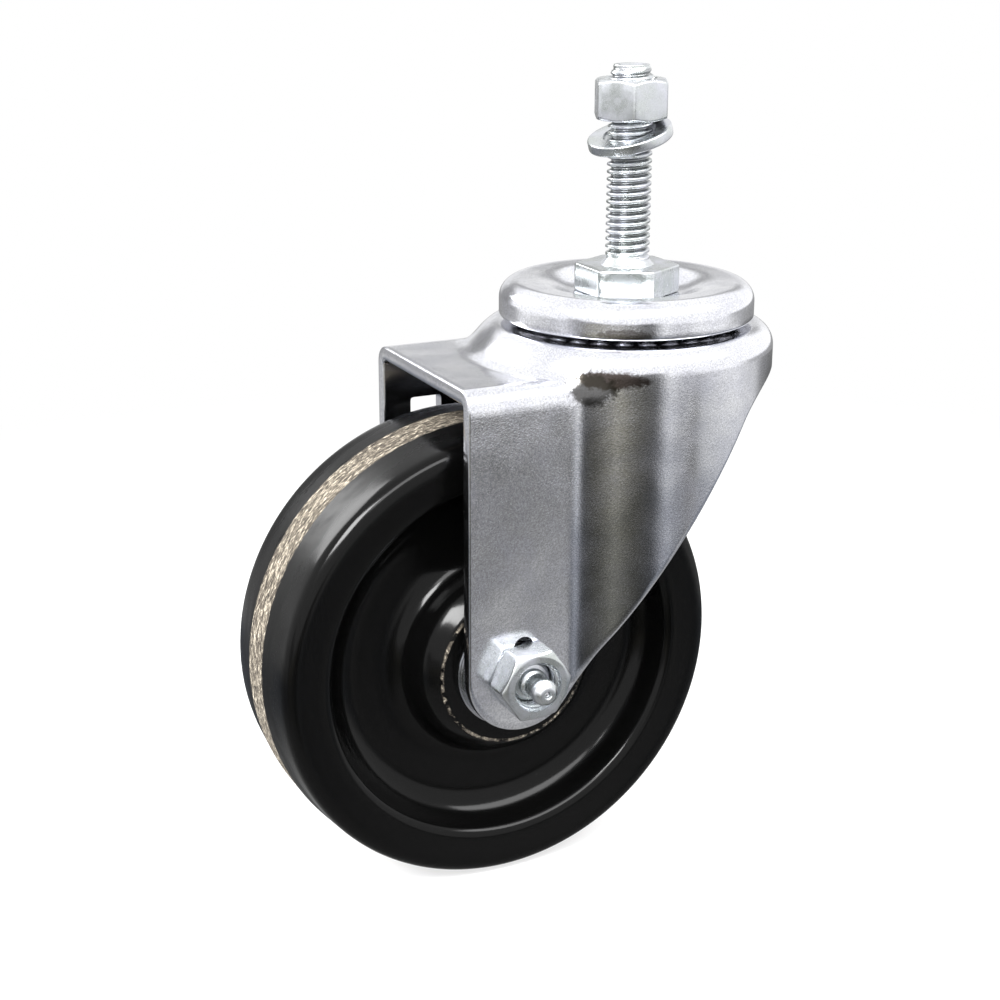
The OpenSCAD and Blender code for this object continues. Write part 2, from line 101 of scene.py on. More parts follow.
class StemSizes(PropertyGroup):
    crest_d: length("Crest diameter", "Diameter over the thread crests", 9.525)
    pitch: length("Pitch", "Distance from one thread to the next", 1.5875)
    depth: length("Thread depth", "Depth of the thread below its crests", 0.92)
    height: length("Stem height", "Height of the stem above its shoulder", 42.0)
    neck_h: length("Neck height", "Height of the plain neck above the shoulder", 1.9)
    neck_d: length("Neck diameter", "Diameter of the plain neck", 9.2)
    hex_af: length("Shoulder across flats", "Size of the hex shoulder across its flats", 19.8)
    hex_h: length("Shoulder height", "Height of the hex shoulder", 6.0)
    kingpin_d: length("Kingpin diameter", "Diameter of the kingpin below the shoulder", 11.9)
    peen_z: length("Peen height", "Height of the peened head's upper face", -21.2)


class NutSizes(PropertyGroup):
    af: length("Nut across flats", "Size of the stem nut across its flats", 14.6)
    height: length("Nut height", "Height of the stem nut", 8.6)
    bottom: length("Nut position", "Height of the nut's lower face above the shoulder", 30.6)
    washer_d: length("Washer diameter", "Outer diameter of the split washer", 18.2)
    washer_bore: length("Washer hole", "Diameter of the split washer's hole", 11.0)
    washer_t: length("Washer thickness", "Thickness of the split washer's wire", 2.2)
    washer_z: length("Washer position", "Height of the washer's centre above the shoulder", 27.07)
    lean: bend("Washer lean", "Lean of the loose washer on the thread", 17)
    low: bend("Low side", "Direction of the washer's low side", 194)


class SwivelSizes(PropertyGroup):
    seat_r: length("Seat radius", "Radius of the flat seat inside the dished cap", 12.4)
    dish_r: length("Dish radius", "Radius at which the dish reaches the raised ring", 17.6)
    cap_r: length("Cap radius", "Outer radius of the cap", 27.6)
    roll: length("Rolled edge", "Outer radius of the cap's rolled edge", 4.0)
    sheet: length("Cap thickness", "Thickness of the pressed cap", 2.6)
    skirt: length("Skirt", "Length of the straight skirt below the rolled edge", 3.6)
    seat_z: length("Seat height", "Height of the cap's seat", -6.0)
    crest_z: length("Crest height", "Height of the cap's raised ring", -3.3)
    race_r: length("Lower race radius", "Outer radius of the lower race", 18.8)
    race_z: length("Lower race height", "Height of the lower race's underside", -21.2)


class ForkSizes(PropertyGroup):
    width: length("Width", "Width over the outside of the legs", 48.0)
    sheet: length("Thickness", "Thickness of the pressed sheet", 3.0)
    front_x: length("Front edge", "Place of the legs' front edge along X", -48.5)
    web_z: length("Web height", "Height of the web's top", -18.0)
    fold_r: length("Fold radius", "Outer radius of the folds between web and legs", 4.0)
    crown_r: length("Crown radius", "Outer radius of the round crown", 32.0)
    crown_z: length("Crown height", "Height of the crown's outer top", -12.2)
    crown_roll: length("Crown roll", "Radius of the crown's rolled shoulder", 4.5)
    plateau_z: length("Plateau height", "Height of the crown's inner plateau", -9.6)
    hole_r: length("Kingpin hole", "Radius of the hole in the crown", 7.5)
    blend: length("Draw radius", "Radius of the drawn blend between crown, web and legs", 3.2)
    foot_r: length("Foot radius", "Radius of the rounded foot of each leg", 12.5)
    skirt_z: length("Rear skirt", "Height of the rear skirt's lower edge", -21.5)
    sweep_r: length("Sweep radius", "Radius between rear edge and rear skirt", 20.0)
    edge: length("Edge rounding", "Rounding of the sheet's cut edges", 0.45)
    hole_gap: length("Axle hole gap", "Clearance of the axle bolt in the legs' holes", 0.15)
    key_r: length("Notch radius", "Half width of the notch over each axle hole", 2.3)
    key_top: length("Notch height", "Height of that notch's top over the axle", 8.7)
    window_x: length("Window place", "Distance from the front edge to the far leg's window", 6.4)
    window_w: length("Window width", "Width of the far leg's window", 7.4)
    window_low: length("Window foot", "Height of the window's lower edge", -41.3)
    window_high: length("Window top", "Height of the window's upper edge", -30.3)
    slope: bend("Leg slope", "Slope of the legs' rear edges", 56.3)


class AxleSizes(PropertyGroup):
    trail: length("Trail", "Distance that the axle trails behind the stem", 36.0)
    drop: length("Drop", "Distance from the shoulder's top face down to the axle", 80.3)
    bolt_d: length("Bolt diameter", "Diameter of the axle bolt", 9.525)
    af: length("Across flats", "Size of the axle's nut and head across their flats", 14.3)
    nut_h: length("Nut height", "Height of the axle nut", 7.0)
    head_h: length("Head height", "Height of the bolt's head", 6.0)
    recess: length("End recess", "How far the bolt's end lies inside the nut", 3.0)
    fitting_l: length("Fitting length", "Height of the grease fitting beyond the bolt's end", 7.6)
    fitting_d: length("Fitting diameter", "Diameter of the grease fitting's head", 5.6)


class WheelSizes(PropertyGroup):
    diameter: length("Diameter", "Diameter of the wheel over its tread", 101.6)
    width: length("Width", "Width of the tread", 31.75)
    shoulder: length("Tread shoulder", "Radius of the tread's shoulders", 2.4)
    band: length("Turned band", "Width of the turned band round the tread's middle", 8.0)
    drop: length("Tread drop", "How much the tread falls away from that band to its shoulders", 1.2)
    ring_w: length("Side ring", "Width of the flat ring beside the tread shoulder", 7.2)
    wall_run: length("Wall slope", "Run of the sloping wall between ring and web", 3.8)
    web_w: length("Web thickness", "Thickness of the wheel's web", 17.0)
    hub_l: length("Hub length", "Length of the hub", 39.0)
    hub_r: length("Hub radius", "Radius of the hub at its ends", 17.0)
    draft: length("Hub draft", "How much wider the hub is where it meets the web", 4.6)
    bevel: length("Hub bevel", "Size of the bevel round the hub's ends", 3.4)
    bore_r: length("Bore radius", "Radius of the hub's bore", 11.41)
    disc_r: length("Disc radius", "Radius of the recess for the hub's end discs", 13.01)
    disc_t: length("Disc thickness", "Depth of the recess for the hub's end discs", 1.5)
    band_w: length("Band width", "Width of the fibre band round the tread", 7.6)
    band_y: length("Band place", "Place of the fibre band across the tread", 0.2)


class Finishes(PropertyGroup):
    zinc: colour("Zinc", "Colour of the bright zinc plate", "#e7e8ec")
    zinc_shade: colour("Zinc shade", "Colour of the duller patches in the plate", "#d0d1da")
    turned: colour("Turned zinc", "Colour of the plate on the stem, bolts and nuts", "#bfc4c2")
    steel: colour("Bearing steel", "Colour of the ground balls, rollers and races", "#b4b4b8")
    black: colour("Phenolic black", "Colour of the moulded wheel", "#030303")
    fibre: colour("Fibre tan", "Colour of the cut fibre in the tread band", "#5a544a")
    grease: colour("Grease brown", "Colour of the oil stains at the swivel head", "#4c3e37")
    # painted shade as well as dirt: this colour darkens the crown's wall by the near leg, where the metal
    # would otherwise mirror bright
    dirt_and_shade: colour("Dirt", "Colour of the dirt that gathers in the fork's corner", "#37352f")
    # the torn patches grey the stem's hex flats: partly worn plate, partly painted shade
    torn: colour("Torn steel", "Colour of the rough patch on the shoulder's front", "#6f7472")
    floor: colour("Floor", "Colour of the studio floor", "#fafafa")


class StudioSizes(PropertyGroup):
    focal: FloatProperty(name="Focal length", description="Focal length of the camera's lens",
                         default=66.96, unit="CAMERA")
    distance: length("Distance", "Distance from the camera to its target", 404.0)
    azimuth: bend("Azimuth", "Turn of the camera round the castor", -25.6)
    elevation: bend("Elevation", "Height of the camera over the castor", 18.19)
    roll: bend("Roll", "Turn of the camera about its own line of sight", 0.21)
    floor_z: length("Floor height", "Height of the floor under the wheel", -131.15)
    columns: IntProperty(name="Columns", description="Faces round each turned piece", default=144, min=24)


def sizes(name):
    """One group's sizes on the scene in millimetres, by name; angles and counts stay as they are."""
    group, found = getattr(bpy.context.scene, "castor_" + name), {}
    for key, prop in group.bl_rna.properties.items():
        if prop.type == "FLOAT" and prop.unit == "LENGTH":
            found[key] = getattr(group, key) / MM
        elif prop.type in {"FLOAT", "INT"}:
            found[key] = getattr(group, key)
    return type("Sizes", (), found)


def eased(points, radii, steps=4):
    """Polyline with rounded corners: near each corner it follows the quadratic curve
    (1-t)^2 a + 2t(1-t) b + t^2 c, where a and c lie on the two sides at the corner's radius from b,
    or a little short of the side's middle where that is nearer.
    points is [corner, ..., 2], so many polylines are rounded at once."""
    points = np.asarray(points, float)
    t = np.linspace(0, 1, steps + 1).reshape(-1, *([1] * (points.ndim - 1)))
    out, most = [points[:1]], 0.48
    for i in range(1, len(points) - 1):
        if radii[i] <= 0:
            out.append(points[i:i + 1])
            continue
        ends = []
        for side in (points[i - 1] - points[i], points[i + 1] - points[i]):
            size = np.linalg.norm(side, axis=-1, keepdims=True)
            ends.append(points[i] + side / size * np.minimum(radii[i], most * size))
        out.append((1 - t) ** 2 * ends[0] + 2 * t * (1 - t) * points[i] + t ** 2 * ends[1])
    out.append(points[-1:])
    return np.concatenate(out)


def thinned(profile, step):
    """The same polyline with points at most step apart, its own corners kept."""
    profile = np.asarray(profile, float)
    gaps = np.linalg.norm(np.diff(profile, axis=0), axis=1)
    counts = np.maximum(1, np.ceil(gaps / step)).astype(int)
    parts = [profile[i] + np.linspace(0, 1, n, endpoint=False)[:, None] * (profile[i + 1] - profile[i])
             for i, n in enumerate(counts)]
    return np.concatenate(parts + [profile[-1:]])


def smooth(t):
    """3 t^2 - 2 t^3, with t held between 0 and 1."""
    t = np.clip(t, 0, 1)
    return t * t * (3 - 2 * t)


def unit(vectors):
    """The vectors over their own lengths."""
    return vectors / np.maximum(np.linalg.norm(vectors, axis=-1, keepdims=True), 1e-9)


def polar(r, angle, z):
    """Points (r cos a, r sin a, z)."""
    return np.stack([r * np.cos(angle), r * np.sin(angle), z + 0 * angle], axis=-1)


def round_angles(columns):
    """Evenly spaced angles of a full turn, its end left out."""
    return np.linspace(0, 2 * math.pi, columns, endpoint=False)


def raised(plan, z):
    """Points from places in plan [..., 2] and heights [...], each repeated where the other is longer."""
    shape = np.broadcast_shapes(plan.shape[:-1], np.shape(z))
    return np.concatenate([np.broadcast_to(plan, (*shape, 2)), np.broadcast_to(z, shape)[..., None]], axis=-1)


def turned(profile, columns):
    """Surface of revolution about Z: (r cos a, r sin a, z) for each profile point (r, z) and angle a."""
    return polar(np.asarray(profile)[:, :1], round_angles(columns), np.asarray(profile)[:, 1:])


def along_axle(points, axle):
    """Lays a shape drawn along Z on the axle's line: (x, y, z) becomes (x - trail, z, -y - drop)."""
    x, y, z = np.moveaxis(points, -1, 0)
    return np.stack([x - axle.trail, z, -y - axle.drop], axis=-1)


def hex_reach(angle, across, turn):
    """Distance from the centre to a hexagon's side: (across / 2) / cos(angle from the side's middle),
    cut off at the corner by a circle that is a little smaller than the corners' own."""
    corner = 0.14
    off = (angle - turn + math.pi / 6) % (math.pi / 3) - math.pi / 6
    reach = across / 2 / np.cos(off)
    knee = across / 2 / math.cos(math.pi / 6) - 2 * corner
    return np.where(reach > knee, knee + corner * np.tanh((reach - knee) / corner), reach)


def hex_columns(across, turn, columns, rings, eases):
    """Hexagonal piece as one rounded profile in each of its columns. Each ring is (share, z): the
    radius is share times the hexagon's reach, or share itself for a round ring when it is over 1.5,
    and z is a height or gives one for a radius."""
    angle = round_angles(columns)
    reach = hex_reach(angle, across, turn)
    rows = []
    most = 1.5
    for share, z in rings:
        r = share + 0 * reach if share > most else share * reach
        rows.append(np.stack([r, z(r) if callable(z) else z + 0 * reach], axis=-1))
    flat = eased(np.array(rows), eases, 3)
    return polar(flat[..., 0], angle, flat[..., 1])


def thread_groove(z, angle, pitch):
    """Share of the thread's depth at a height and angle: with u = z / pitch - angle / turn,
    it is 0 on the rounded crest and 1 in the rounded root, as a flank wave with softened ends."""
    crest, run = 0.76, 0.68
    u = (z / pitch - angle / (2 * math.pi)) % 1.0
    return smooth((crest - 2 * np.abs(u - 0.5)) / run)


def build_mesh(name, patches):
    """One mesh from grids of points [row, column, 3] in millimetres. Each patch is
    (points, closed round, closed along); its quads join neighbours in the grid. Doubles are merged
    and the normals recalculated, so poles and seams close and faces point outwards."""
    verts, faces, start = [], [], 0
    for points, closed_round, closed_along in patches:
        rows, cols = points.shape[:2]
        index = start + np.arange(rows * cols).reshape(rows, cols)
        if closed_round:
            index = np.concatenate([index, index[:, :1]], axis=1)
        if closed_along:
            index = np.concatenate([index, index[:1]], axis=0)
        quads = np.stack([index[:-1, :-1], index[:-1, 1:], index[1:, 1:], index[1:, :-1]], axis=-1)
        verts.append(points.reshape(-1, 3) * MM)
        faces.append(quads.reshape(-1, 4))
        start += rows * cols
    merged, collapsed = 2e-6, 1e-7
    mesh = bpy.data.meshes.new(name)
    mesh.from_pydata(np.concatenate(verts).tolist(), [], np.concatenate(faces).tolist())
    work = bmesh.new()
    work.from_mesh(mesh)
    bmesh.ops.remove_doubles(work, verts=work.verts, dist=merged)
    bmesh.ops.dissolve_degenerate(work, edges=work.edges, dist=collapsed)
    bmesh.ops.recalc_face_normals(work, faces=work.faces)
    work.to_mesh(mesh)
    work.free()
    return mesh


def smooth_inside(mesh, reach, low):
    """Takes the sharp marks off the edges that lie within a reach of the Z axis and above a height."""
    points = np.empty(3 * len(mesh.vertices))
    mesh.vertices.foreach_get("co", points)
    points = points.reshape(-1, 3) / MM
    ends = np.empty(2 * len(mesh.edges), int)
    mesh.edges.foreach_get("vertices", ends)
    inside = (np.hypot(points[:, 0], points[:, 1]) < reach) & (points[:, 2] > low)
    inside = inside[ends.reshape(-1, 2)].all(axis=1)
    sharp = np.empty(len(mesh.edges), bool)
    mesh.edges.foreach_get("use_edge_sharp", sharp)
    mesh.edges.foreach_set("use_edge_sharp", sharp & ~inside)


def shade(mesh, sharp):
    """Shades a mesh smooth, apart from the edges that bend by more than sharp degrees."""
    mesh.polygons.foreach_set("use_smooth", np.ones(len(mesh.polygons), bool))
    mesh.set_sharp_from_angle(angle=math.radians(sharp))


def piece(name, patches, material, body, node, sharp=34, soften=None):
    """Object at the origin, made from patches, that wears a material, rides on a body and stands for
    a node. Edges that bend by more than sharp degrees are sharp, but for those that soften takes."""
    mesh = build_mesh(name, patches)
    shade(mesh, sharp)
    if soften:
        smooth_inside(mesh, *soften)
    mesh.materials.append(material)
    thing = bpy.data.objects.new(name, mesh)
    bpy.context.scene.collection.objects.link(thing)
    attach(thing, body)
    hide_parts(node)
    return thing


def add_node(tree, kind, sockets=None, out=None, stops=(), **settings):
    """Adds a shader node with its settings. Each input in sockets is linked where an output is given
    and set where a value is, and stops fill a colour ramp. Returns the output of that name, or else
    the first one in use."""
    made = tree.nodes.new("ShaderNode" + kind)
    for key, value in settings.items():
        setattr(made, key, value)
    for key, value in (sockets or {}).items():
        if isinstance(value, bpy.types.NodeSocket):
            tree.links.new(value, made.inputs[key])
        else:
            made.inputs[key].default_value = value
    if stops:
        elements = made.color_ramp.elements
        elements.remove(elements[-1])
        elements[0].position, elements[0].color = stops[0]
        for place, tone in stops[1:]:
            elements.new(place).color = tone
    return made.outputs[out] if out else next((socket for socket in made.outputs if socket.enabled), None)


def new_material(name):
    """An empty material, and the function that adds a node to it."""
    material = bpy.data.materials.new(name)
    material.use_nodes = True
    material.node_tree.nodes.clear()
    return material, partial(add_node, material.node_tree)


def grey(value):
    """A ramp colour of one level."""
    return (value, value, value, 1.0)


def finish_named(name, maker, *sizes_used, **details):
    """The finish of that name, made the first time that it is asked for."""
    return bpy.data.materials.get(name) or maker(name, *sizes_used, **details)


def zinc_plate(name, plate, rough, grain_mm, grain_bump, patch_mm, low, high, stains=(), groove=None):
    """Electroplated bright zinc on pressed or turned steel. The bright dip leaves a cool, faintly
    lilac metal; the steel's own grain shows through as a fine pebble that breaks up reflections,
    and the plate is duller in soft patches where it lies thinner. A stain is (place, turn about Z,
    reach, amount, colour); the stains are films of oil and grime and dull patches, and some of them
    also paint shade on the metal. A groove is painted shade in a thread's roots: (root radius,
    crest radius, height of the tip, level)."""
    shaded = bpy.context.scene.castor_finishes.zinc_shade
    material, add = new_material(name)
    at = add("TexCoord", out="Object")
    patches, grain, speck, tear, sway = (
        add("TexNoise", {"Vector": at, "Scale": 1 / (size * MM), "Detail": detail, "Roughness": fine})
        for size, detail, fine in ((patch_mm, 4.0, 0.6), (grain_mm, 2.0, 0.7), (SPECK_MM, 2.0, 0.9),
                                   (TEAR_MM, 4.0, 0.8), (SWAY_MM, 1.0, 0.5)))
    dull = add("MapRange", {"Value": patches, "From Min": 0.35, "From Max": 0.75})
    base = add("Mix", {"Factor": dull, "A": (*plate, 1), "B": (*shaded, 1)}, data_type="RGBA")
    mottle = add("MapRange", {"Value": speck, "From Min": 0.3, "From Max": 0.7,
                              "To Min": low, "To Max": high})
    base = add("Mix", {"Factor": 1.0, "A": base, "B": mottle}, data_type="RGBA", blend_type="MULTIPLY")
    # films of oil and grime, dull patches and patches of painted shade, each round one place and torn at its
    # edge by noise
    for place, turn, reach, amount, colour_of_film in stains:
        local = add("Mapping", {"Vector": at, "Location": tuple(c * MM for c in place),
                                "Rotation": (0, 0, math.radians(turn)),
                                "Scale": tuple(c * MM for c in reach)}, vector_type="TEXTURE")
        off = add("VectorMath", {0: local}, operation="LENGTH")
        torn = add("Math", {0: tear, 1: 1.4, 2: off}, operation="MULTIPLY_ADD")
        film = add("MapRange", {"Value": torn, "From Min": 1.75, "From Max": 1.45, "To Max": amount})
        base = add("Mix", {"Factor": film, "A": base, "B": (*colour_of_film, 1)}, data_type="RGBA")
    if groove:
        # painted shade: a thread's roots are drawn darker than its crests, and the darkening ends just under
        # the tip
        root, crest, tip, level = groove
        across = add("VectorMath", {0: at, 1: (1.0, 1.0, 0.0)}, operation="MULTIPLY")
        radius = add("VectorMath", {0: across}, operation="LENGTH")
        groove_shade = add("MapRange", {"Value": radius, "From Min": root * MM, "From Max": crest * MM,
                                "To Min": level})
        tall = add("SeparateXYZ", {"Vector": at}, out="Z")
        end = add("MapRange", {"Value": tall, "From Min": (tip - 1) * MM, "From Max": (tip - 0.6) * MM})
        groove_shade = add("Math", {0: groove_shade, 1: end}, operation="MAXIMUM")
        base = add("Mix", {"Factor": 1.0, "A": base, "B": groove_shade}, data_type="RGBA", blend_type="MULTIPLY")
    roughness = add("MapRange", {"Value": patches, "From Min": 0.3, "From Max": 0.7,
                                 "To Min": rough * 0.75, "To Max": rough * 1.35})
    waves = add("Bump", {"Height": sway, "Strength": 1.0, "Distance": SWAY_DEPTH * MM})
    bump = add("Bump", {"Height": grain, "Strength": 1.0, "Distance": grain_bump * MM, "Normal": waves})
    shader = add("BsdfPrincipled", {"Metallic": 1.0, "Base Color": base, "Roughness": roughness,
                                    "Normal": bump})
    add("OutputMaterial", {"Surface": shader})
    return material


def sheet_zinc():
    """Zinc on the pressed sheet, with oil and grime where the crown meets the near leg, and painted shade on
    the crown's wall there.
    """
    tone = bpy.context.scene.castor_finishes
    return finish_named("Zinc-plated pressed steel", zinc_plate, plate=tone.zinc, rough=0.14, grain_mm=0.36,
                        grain_bump=0.013, patch_mm=9.0, low=0.72, high=1.16, stains=(
                            ((-18.2, -26.3, -18.0), -37.0, (9.0, 3.0, 2.0), 0.9, tone.grease),
                            # dirt and painted shade on the crown's wall beside the near leg
                            ((-21.6, -24.5, -19.9), -41.0, (6.2, 3.0, 3.6), 0.86, tone.dirt_and_shade),
                            ((-13.4, -24.1, -9.5), -29.0, (6.0, 2.0, 1.2), 0.6, tone.grease)))


def stem_zinc():
    """Zinc on the turned parts: two grey patches on the stem's hex shoulder, partly worn plate and
    partly painted shade, and painted shade in the thread's roots.
    """
    tone = bpy.context.scene.castor_finishes
    return finish_named("Zinc-plated turned steel", zinc_plate, plate=tone.turned, rough=0.27, grain_mm=0.4,
                        grain_bump=0.003, patch_mm=5.0, low=0.88, high=1.06, stains=(
                            # grey patches on the hex shoulder's flats: partly worn plate, partly painted
                            # shade
                            ((-4.95, -8.57, -1.5), -30.0, (5.6, 1.2, 1.5), 0.8, tone.torn),
                            ((-9.9, -0.2, -3.0), 91.0, (8.0, 1.6, 7.0), 0.6, tone.torn)),
                        # painted shade in the thread's roots
                        groove=(3.95, 4.45, 42.0, 0.5))


def ground_steel(name):
    """Ground bearing steel under a film of oil: a neutral metal with clear, sharp reflections
    and only a trace of grinding marks."""
    material, add = new_material(name)
    at = add("TexCoord", out="Object")
    film = add("TexNoise", {"Vector": at, "Scale": 1 / (FILM_MM * MM), "Detail": 3.0})
    roughness = add("MapRange", {"Value": film, "To Min": 0.12, "To Max": 0.32})
    steel = bpy.context.scene.castor_finishes.steel
    shader = add("BsdfPrincipled", {"Metallic": 1.0, "Base Color": (*steel, 1), "Roughness": roughness})
    add("OutputMaterial", {"Surface": shader})
    return material


def moulded_phenolic(name, wheel, axle):
    """Compression-moulded phenolic with a macerated fabric filler. The moulded skin is a deep
    glossy black with a faint orange peel. Round the tread the flash was turned off, and the cut
    fibres show there as a speckled tan band; the hub's edge is worn to the same tan."""
    tone = bpy.context.scene.castor_finishes
    tread_r, hub_end, band_half = wheel.diameter / 2, wheel.hub_l / 2, wheel.band_w / 2
    material, add = new_material(name)
    at = add("TexCoord", out="Object")
    place = add("Mapping", {"Vector": at, "Location": (axle.trail * MM, 0, axle.drop * MM)})
    x, y, z = add("SeparateXYZ", {"Vector": place}).node.outputs
    squares = [add("Math", {0: side, 1: side}, operation="MULTIPLY") for side in (x, z)]
    total = add("Math", dict(enumerate(squares)), operation="ADD")
    radius = add("Math", {0: total}, operation="SQRT")
    # the cut fibres lie along the tread: noise over (arc length / 3, width)
    around = add("Math", {0: z, 1: x}, operation="ARCTAN2")
    arc = add("Math", {0: around, 1: tread_r / 3 * MM}, operation="MULTIPLY")
    spread = add("CombineXYZ", {"X": arc, "Y": y, "Z": radius})
    fibre, ragged, cloud, peel = (
        add("TexNoise", {"Vector": vector, "Scale": 1 / (size * MM), "Detail": detail, "Roughness": fine,
                         "Distortion": bent})
        for vector, size, detail, fine, bent in (
            (spread, FIBRE_MM, 3.0, 0.75, 0.6), (at, RAGGED_MM, 5.0, 0.7, 0.0),
            (spread, CLOUD_MM, 5.0, 0.7, 0.0), (at, PEEL_MM, 2.0, 0.5, 0.0)))
    # distance from the band's middle, made ragged by the coarse noise
    off = add("Math", {0: y, 1: wheel.band_y * MM}, operation="SUBTRACT")
    off = add("Math", {0: off}, operation="ABSOLUTE")
    off = add("Math", {0: ragged, 1: 0.9 * MM, 2: off}, operation="MULTIPLY_ADD")
    side = add("Math", {0: y}, operation="ABSOLUTE")
    # shares: within the band, out on the tread, past the tread's shoulders, at the hub's end
    band, tread, inner, end = (
        add("MapRange", {"Value": value, "From Min": start * MM, "From Max": full * MM})
        for value, start, full in (
            (off, band_half + 1.0, band_half + 0.5), (radius, tread_r - 1.3, tread_r - 0.6),
            (radius, tread_r - 0.9, tread_r - 0.4), (side, hub_end - 0.7, hub_end - 0.3)))
    on_tread = add("Math", {0: band, 1: tread}, operation="MULTIPLY")
    # worn ring on the hub's edge
    ring = add("Math", {0: radius, 1: (wheel.hub_r - 0.35) * MM}, operation="SUBTRACT")
    ring = add("Math", {0: ring}, operation="ABSOLUTE")
    ring = add("MapRange", {"Value": ring, "From Min": 0.45 * MM, "From Max": 0.15 * MM})
    worn = add("MapRange", {"Value": ragged, "From Min": 0.44, "From Max": 0.6, "To Max": 0.8})
    on_hub = add("Math", {0: ring, 1: end}, operation="MULTIPLY")
    on_hub = add("Math", {0: on_hub, 1: worn}, operation="MULTIPLY")
    bare = add("Math", {0: on_tread, 1: on_hub}, operation="MAXIMUM")
    tan = add("ValToRGB", {"Fac": fibre}, stops=(
        (0.36, linear("#1d1a17")), (0.46, linear("#443e37")), (0.54, (*tone.fibre, 1)),
        (0.66, linear("#a89f90"))))
    base = add("Mix", {"Factor": bare, "A": (*tone.black, 1), "B": tan}, data_type="RGBA")
    # the skin on the tread is scuffed, so it mirrors less sharply than the sides
    scuff = add("MapRange", {"Value": cloud, "From Min": 0.35, "From Max": 0.65,
                             "To Min": 0.1, "To Max": 0.3})
    scuff = add("Math", {0: scuff, 1: inner, 2: 0.15}, operation="MULTIPLY_ADD")
    roughness = add("Mix", {"Factor": bare, "A": scuff, "B": 0.75})
    bump = add("Bump", {"Height": peel, "Strength": 0.5, "Distance": PEEL_DEPTH * MM})
    shader = add("BsdfPrincipled", {"IOR": 1.5, "Specular IOR Level": 0.16, "Base Color": base,
                                    "Roughness": roughness, "Normal": bump})
    add("OutputMaterial", {"Surface": shader})
    return material


# The room that the metal mirrors. A belt's stops are (share of the turn from -X by -Y, level) round the
# compass or (share of the height from -0.5 to 0.5, level) up the wall; some add tints of red and blue.
ROOM_TOP = 1.4
WARM = ((0.06, 0.1), (0.071, 0.42), (0.085, 0.48), (0.1, 0.48), (0.14, 0.46), (0.163, 0.33), (0.183, 0.19),
        (0.2, 0.11))
LOW_BELT = ((0.0, 0.8), (0.03, 0.7), (0.055, 0.4), *((*stop, 1.06, 0.78) for stop in WARM),
            (0.24, 0.1), (0.254, 0.5), (0.266, 0.86), (0.288, 0.5), (0.31, 0.42), (0.338, 0.56), (0.364, 0.7),
            (0.392, 0.8), (0.43, 0.92), (0.5, 0.9), (0.535, 0.3), (0.58, 0.16), (0.66, 0.16), (0.72, 0.3),
            (0.8, 0.6), (0.9, 0.6), (1.0, 0.5))
LOW_HEIGHTS = ((0.0, 0.6, 0.95, 1.06), (0.14, 0.5, 0.93, 1.14), (0.17, 0.55, 0.93, 1.14),
               (0.195, 0.85, 0.96, 1.06), (0.215, 1.4))
LEG_HEIGHTS = ((0.0, 0.6), (0.09, 0.5), (0.13, 0.31), (0.165, 0.2), (0.19, 0.12), (0.215, 0.05),
               (0.238, 0.05), (0.25, 1.2))
RIM_BELT = ((0.0, 1.2), (0.018, 1.1), (0.03, 0.62), (0.045, 0.5), (0.1, 0.42), (0.154, 0.5), (0.185, 0.44),
            (0.21, 0.26), (0.24, 0.26), (0.252, 0.9), (0.27, 1.4), (0.3, 1.2), (0.34, 1.3), (0.39, 1.4),
            (0.44, 1.3), (0.48, 0.6), (0.58, 0.4), (0.66, 0.3), (0.72, 0.35), (0.78, 0.42), (0.84, 0.45),
            (0.87, 1.2), (0.9, 1.2), (0.94, 1.0), (0.97, 1.0))
HAZE_BELT = ((0.6, 1.4), (0.64, 1.0), (0.72, 1.0), (0.745, 0.4), (0.8, 0.3), (0.815, 0.5), (0.83, 1.4))


def levels(stops):
    """Ramp colours for a belt, each divided by the room's top level, since a ramp holds no more than 1."""
    made = []
    for place, level, *tint in stops:
        red, blue = tint or (1.0, 1.0)
        made.append((place, (red * level / ROOM_TOP, level / ROOM_TOP, blue * level / ROOM_TOP, 1.0)))
    return made


